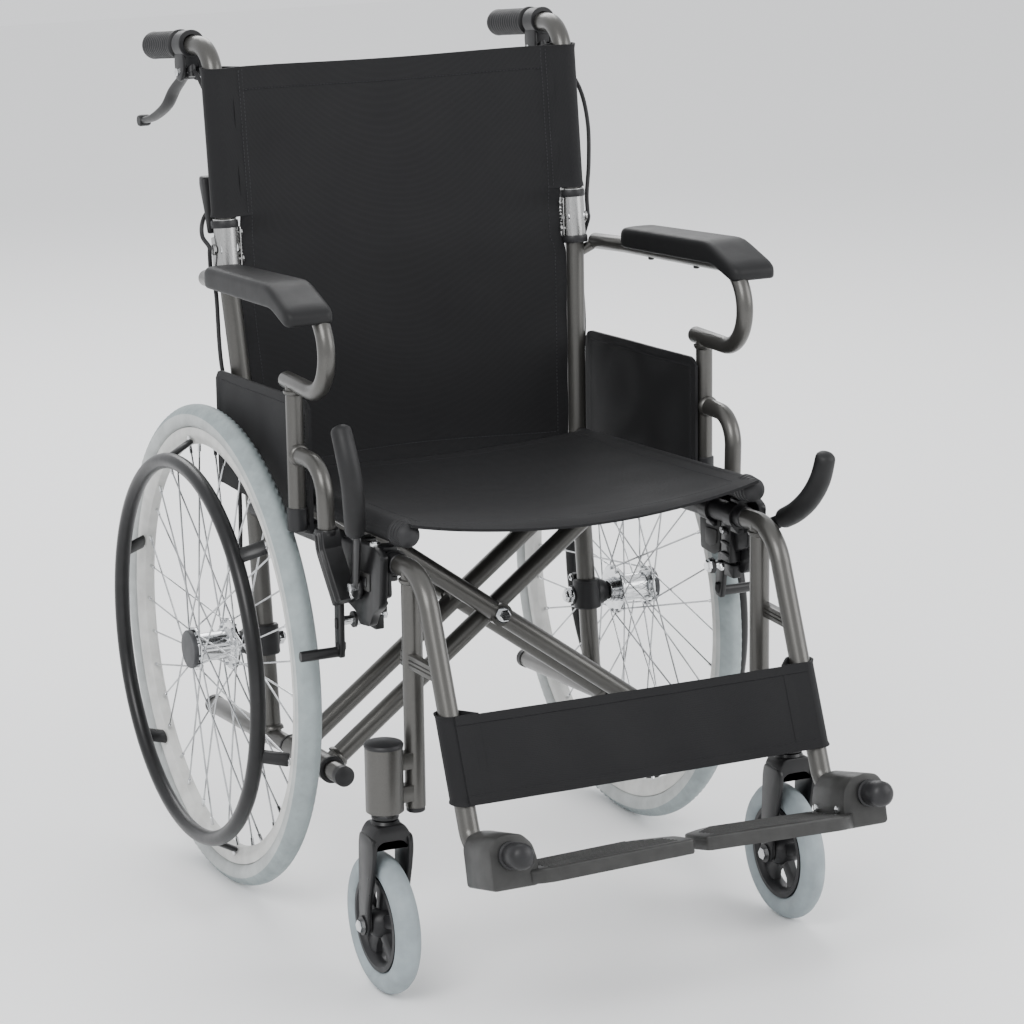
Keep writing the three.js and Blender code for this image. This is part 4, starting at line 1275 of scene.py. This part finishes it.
def seat_surface(u, v):
    """The sling seat: u across from the middle to the rail, v from front to rear."""
    x = u * SEAT_X
    across = 1 - u * u
    front = SEAT_FRONT - 4 - 12 * across
    y = front + (SEAT_BACK - front) * v
    droop = -(9 + 13 * math.sin(math.pi * min(1, 0.12 + 0.86 * v))) * across
    lip = -7 * across * max(0, 1 - v / 0.05) ** 2
    ripple = 0.9 * math.sin(26 * v + 5 * u) * u**3 * (1 - u) * 4
    height = BRACE_HEIGHT + TUBE_R + 1.6
    p = on_rails((x, 0, height))
    return (x, y, p[2] - RAIL_SLOPE * y + droop + lip + ripple)


def sleeve(shape, centre, axis_low, axis_high, seam, r=12.9, finish=0, wall=1.5):
    """A cloth sleeve round a tube. centre(t) is the tube's line, and seam the offset it is drawn in to."""
    reach = math.hypot(*seam)
    way = math.atan2(seam[1], seam[0])
    half = math.acos(r / reach)
    count = 28

    def section(t, size):
        c = centre(t)
        loop = []
        for k in range(count + 1):
            a = way + half + (2 * math.pi - 2 * half) * k / count
            loop.append((c[0] + (r + size) * math.cos(a), c[1] + (r + size) * math.sin(a), c[2]))
        loop.append((c[0] + seam[0] + size * math.cos(way), c[1] + seam[1] + size * math.sin(way), c[2]))
        return loop

    steps = 26
    outside = [
        section(
            axis_low + (axis_high - axis_low) * k / steps, wall + (1.2 if k < 1 or k > steps - 1 else 0),
        )
        for k in range(steps + 1)
    ]
    inside = [section(axis_low + (axis_high - axis_low) * k / steps, -0.2) for k in range(steps, -1, -1)]
    rings = outside + inside
    loft(shape, rings, finish, closed=True)


def back_edge(z):
    """Half the backrest's width at a height: it runs along the insides of the canes and their brackets."""
    return float(np.interp(z, (480, 695, 704, 712), (197, 209, 207, 203)))


def back_surface(u, v):
    """The backrest: u from one edge to the other, -1 to 1, and v the height in millimetres."""
    wrap = 8 * abs(u) ** 6 * min(1, max(0, (v - 748) / 22))
    y = cane_y(v) - wrap + 11 * hump(u) + 0.7 * math.sin(v / 31 + 4 * u) * hump(u)
    edge = 1.1 * math.sin(v / 12) * abs(u) ** 12
    return (u * back_edge(v), y + edge, v - 3.5 * hump(u) * (v - 733) / 200)


CALF_LOW, CALF_HIGH = 245, 331


def calf_centre(z):
    return (FRAME_X, -515 - LEG_LEAN * (334 - z), z)


def calf_surface(u, v):
    """The calf strap: u from -1 to 1 across, v the height. Its ends pass in front of the sleeves."""
    c = calf_centre(v)
    bow = 15 * (1 - u * u)
    ripple = 1.8 * math.sin(14 * u + 0.8) * math.sin(math.pi * (v - 245) / 86) * (1 - u * u)
    return (u * FRAME_X, c[1] - 14.6 + bow + ripple, v - 6 * (1 - u * u))


def upholstery():
    s = Shape()
    hems = (("v", -1, 0.055), ("v", 0.95, 2), ("u", 0.9, 2))
    cloth(s, seat_surface, spread(0, 1, 26, (0.9,)), spread(0, 1, 46, (0.055, 0.95)), 1.7, hems)
    for v in (0.05, 0.957):
        stitches(s, seat_surface, [(0.01, v), (0.5, v), (0.97, v)], (0, 0, 1.5), 1)
    stitches(s, seat_surface, [(0.905, 0.06), (0.905, 0.5), (0.905, 0.94)], (0, 0, 1.5), 1)
    pair("seat_half", s, [NYLON, THREAD], "seat_{}", ["seat_half_{}"])

    s = Shape()
    low = on_rails((SEAT_X, SEAT_REAR - 4, BRACE_HEIGHT))
    high = on_rails((SEAT_X, SEAT_FRONT + 2, BRACE_HEIGHT))
    length = math.dist(low, high)
    axis = np.array(high) - np.array(low)
    turned(s, [(0, 11.2), (0, 13.2), (length, 13.2), (length, 11.2)], low, axis, closed=True)
    build("seat_sleeve_left", s, [NYLON], "arm_a", ())
    build("seat_sleeve_right", s, [NYLON], "arm_b", (), flip=True)

    for part, body, low, high in (
        ("back_lower", "frame_right", BACK_BOTTOM, HINGE_Z),
        ("back_upper", "cane_right", HINGE_Z, BACK_TOP),
    ):
        s = Shape()
        hems = [("u", -2, -0.925), ("u", 0.925, 2)]
        hems.append(("v", 0, low + 24) if part == "back_lower" else ("v", high - 26, 2000))
        breaks = (low + 24,) if part == "back_lower" else (high - 26,)
        cloth(s, back_surface, spread(-1, 1, 70, (-0.925, 0.925)), spread(low, high, 34, breaks), 1.8, hems)
        for u in (-0.93, 0.93):
            stitches(s, back_surface, [(u, low + 2), (u, (low + high) / 2), (u, high - 2)], (0, -1.5, 0), 1)
        level = breaks[0]
        stitches(s, back_surface, [(-0.92, level), (0, level), (0.92, level)], (0, -1.5, 0), 1)
        build(part, s, [NYLON, THREAD], body, [f"{part}_half_left", f"{part}_half_right"])

    s = Shape()
    sleeve(s, lambda z: (CANE_X, cane_y(z), z), HINGE_Z + 37, BACK_TOP, (-31, -5.4))
    place = lambda u, v: (CANE_X - 27 + u, cane_y(v), v)
    stitches(s, place, [(0, HINGE_Z + 40), (0, 850), (0, BACK_TOP - 3)], (0, -8.6, 0), 1)
    pair("back_sleeve", s, [NYLON, THREAD], "cane_{}", ())

    s = Shape()
    hem_low, hem_high = CALF_LOW + 9, CALF_HIGH - 9
    hems = (("v", 0, hem_low), ("v", hem_high, 2000))
    cloth(s, calf_surface, spread(-1, 1, 60), spread(CALF_LOW, CALF_HIGH, 22, (hem_low, hem_high)), 2.0, hems)
    for v in (hem_low - 1, hem_high + 1):
        stitches(s, calf_surface, [(-0.98, v), (0, v), (0.98, v)], (0, -1.6, 0), 1)
    build("calf_strap", s, [NYLON, THREAD], "frame_right", ["calf_half_left", "calf_half_right"])
    s = Shape()
    sleeve(s, calf_centre, CALF_LOW, CALF_HIGH, (-27, -11))
    pair("calf_sleeve", s, [NYLON], "frame_{}", ())

    s = Shape()
    hems = (("u", -1, 0.05), ("u", 0.95, 2), ("v", 0.92, 2))
    cloth(s, skirt, spread(0, 1, 40, (0.05, 0.95)), spread(0, 1, 24, (0.92,)), 1.8, hems)
    for side in (-1.5, 1.5):
        stitches(s, skirt, [(0.06, 0.925), (0.5, 0.925), (0.94, 0.925)], (side, 0, 0), 1)
        stitches(s, skirt, [(0.045, 0.03), (0.045, 0.9)], (side, 0, 0), 1)
    pair("skirt_panel", s, [NYLON, THREAD], "frame_{}", ["skirt_panel_{}"])


upholstery()

# ---------------------------------------------------------------- assembly
pair("side_frame", side_frame(), [PAINT, PLASTIC], "frame_{}", ["side_frame_{}"])
pair("caster_housing", caster_housing(), [PAINT, PLASTIC], "frame_{}", ())
pair("end_plug", end_plugs(), [PLASTIC], "frame_{}", ())
pair("back_cane", back_cane(), [PAINT, CHROME], "cane_{}", ["back_cane_{}"])
pair("push_grip", push_grip(), [RUBBER], "cane_{}", ["push_grip_{}"])
pair("lever_clamp", lever_clamp(), [PLASTIC, CHROME], "cane_{}", ())
pair(
    "attendant_lever", attendant_lever(), [PLASTIC], "attendant_lever_{}", ["attendant_lever_{}"],
)
pair("fold_bracket", fold_bracket(), [STEEL, PLASTIC], "frame_{}", ["fold_bracket_{}"])
pair("release_lever", release_lever(), [PLASTIC], "release_lever_{}", ["release_lever_{}"])
pair("armrest_tube", armrest_tube(), [PAINT, PLASTIC], "frame_{}", ["armrest_tube_{}"])
pair("armrest_pad", armrest_pad(), [PAD], "frame_{}", ["armrest_pad_{}"], sharp=60)
pair(
    "brake_bracket", brake_bracket(), [BLACK_STEEL, CHROME, STEEL, FOOT], "frame_{}", ["brake_bracket_{}"],
)
# The left brake stands half way on, and the right one is off, with its lever back.
for side, lever_turn, shoe_turn in (("left", 0, 9.45), ("right", -45, 0)):
    lever = turned_about(brake_lever(), (-350, 430), lever_turn)
    shoe = turned_about(brake_shoe(), (-312, 418), shoe_turn)
    parts = f"brake_lever_{side}", f"brake_shoe_{side}"
    build(parts[0], lever, [BLACK_STEEL, GRIP], parts[0], [parts[0]], side == "right")
    build(parts[1], shoe, [BLACK_STEEL, CHROME], parts[1], [parts[1]], side == "right")
pair("axle_clamp", axle_clamp(), [PLASTIC, CHROME], "frame_{}", ["axle_clamp_{}"])
pair("rear_axle", rear_axle(), [CHROME], "frame_{}", ["rear_axle_{}"])
pair("rear_tyre", rear_tyre(), [TYRE, TREAD], "rear_wheel_{}", ["rear_tyre_{}"], sharp=50)
pair("rear_rim", rear_rim(), [RIM], "rear_wheel_{}", ["rear_rim_{}"])
pair("rear_hub", rear_hub(), [CHROME, CAP_GREY, SPOKE], "rear_wheel_{}", ["rear_hub_{}"])
pair("handrim", handrim(), [BLACK_STEEL, CHROME], "rear_wheel_{}", ["handrim_{}"])
pair(
    "caster_fork", caster_fork(), [BLACK_STEEL, CHROME], "caster_fork_{}", ["caster_fork_{}"],
)
pair("caster_wheel", caster_wheel(), [PLASTIC], "caster_{}", ["caster_wheel_{}"])
pair("caster_tyre", caster_tyre(), [CASTER_TYRE], "caster_{}", ["caster_tyre_{}"], sharp=60)
pair("footplate", footplate(), [FOOT, CHROME], "footplate_{}", ["footplate_{}"])

ARM_A = (-185, -97)
ARM_B = (-210, -72)
build("cross_arm_a", cross_arm(*ARM_A), [PAINT, RUBBER], "arm_a", ["cross_arm_a"])
build("cross_arm_b", mirror_of(cross_arm(*ARM_B)), [PAINT, RUBBER], "arm_b", ["cross_arm_b"])
build(
    "cross_pivot", cross_pivot(ARM_B[0] - 13, ARM_B[1] + 13), [CHROME], "arm_a", ["cross_pivot"],
)

for side in ("left", "right"):
    s = Shape()
    sweep(s, smooth_route(brake_cable(side), 120), circle(2.5, sides=12), 0, (DOME, DOME))
    cable = build(f"brake_cable_{side}", s, [RUBBER], None, (), side == "right")
    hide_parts(f"brake_cable_upper_{side}", f"brake_cable_lower_{side}")
    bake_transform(cable)

# ---------------------------------------------------------------- cloth pieces with meshes of their own
for piece, half in (("back_lower", 203), ("back_upper", 203), ("calf_strap", FRAME_X)):
    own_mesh(made[piece])

# ---------------------------------------------------------------- stage, lights and camera
floor_mesh = bpy.data.meshes.new("floor")
floor_mesh.from_pydata([(-9, -9, 0), (9, -9, 0), (9, 9, 0), (-9, 9, 0)], [], [(0, 1, 2, 3)])
floor = bpy.data.objects.new("floor", floor_mesh)
floor_mesh.materials.append(Finish("pale_floor", (0.94, 0.94, 0.94), 0.6).material)
bpy.context.scene.collection.objects.link(floor)

world = bpy.data.worlds.new("studio")
world.use_nodes = True
world.node_tree.nodes["Background"].inputs["Color"].default_value = (0.97, 0.98, 1, 1)
world.node_tree.nodes["Background"].inputs["Strength"].default_value = 1.2
bpy.context.scene.world = world


def soft_light(name, place, size, power):
    light = bpy.data.lights.new(name, "AREA")
    light.size = size
    light.energy = power
    lamp = bpy.data.objects.new(name, light)
    lamp.location = place
    lamp.rotation_euler = (Vector((0, -0.05, 0.5)) - Vector(place)).to_track_quat("-Z", "Y").to_euler()
    bpy.context.scene.collection.objects.link(lamp)


soft_light("key", (-2.6, -2.4, 3.2), 2.2, 125)
soft_light("fill", (2.8, -2.2, 2.0), 2.4, 72)
soft_light("back", (0.8, 3.0, 2.8), 2.4, 80)

AZIMUTH, ELEVATION, ROLL = (math.radians(a) for a in (-25.52, 14.08, -0.79))
DISTANCE = 4027
TARGET = (4.7, -228.7, 456.4)
LENS, SENSOR = 126.53, 36
back = Vector(
    (math.sin(AZIMUTH) * math.cos(ELEVATION), -math.cos(AZIMUTH) * math.cos(ELEVATION), math.sin(ELEVATION))
)
right = (-back).cross(Vector((0, 0, 1))).normalized()
up = right.cross(-back)
across = right * math.cos(ROLL) + up * math.sin(ROLL)
upward = up * math.cos(ROLL) - right * math.sin(ROLL)
camera = bpy.data.objects.new("camera", bpy.data.cameras.new("camera"))
camera.data.lens = LENS
camera.data.sensor_width = SENSOR
place = Vector(row(TARGET)) + back * DISTANCE * MM
camera.matrix_world = Matrix.Translation(place) @ Matrix((across, upward, back)).transposed().to_4x4()
bpy.context.scene.collection.objects.link(camera)
bpy.context.scene.camera = camera

bpy.context.view_layer.update()
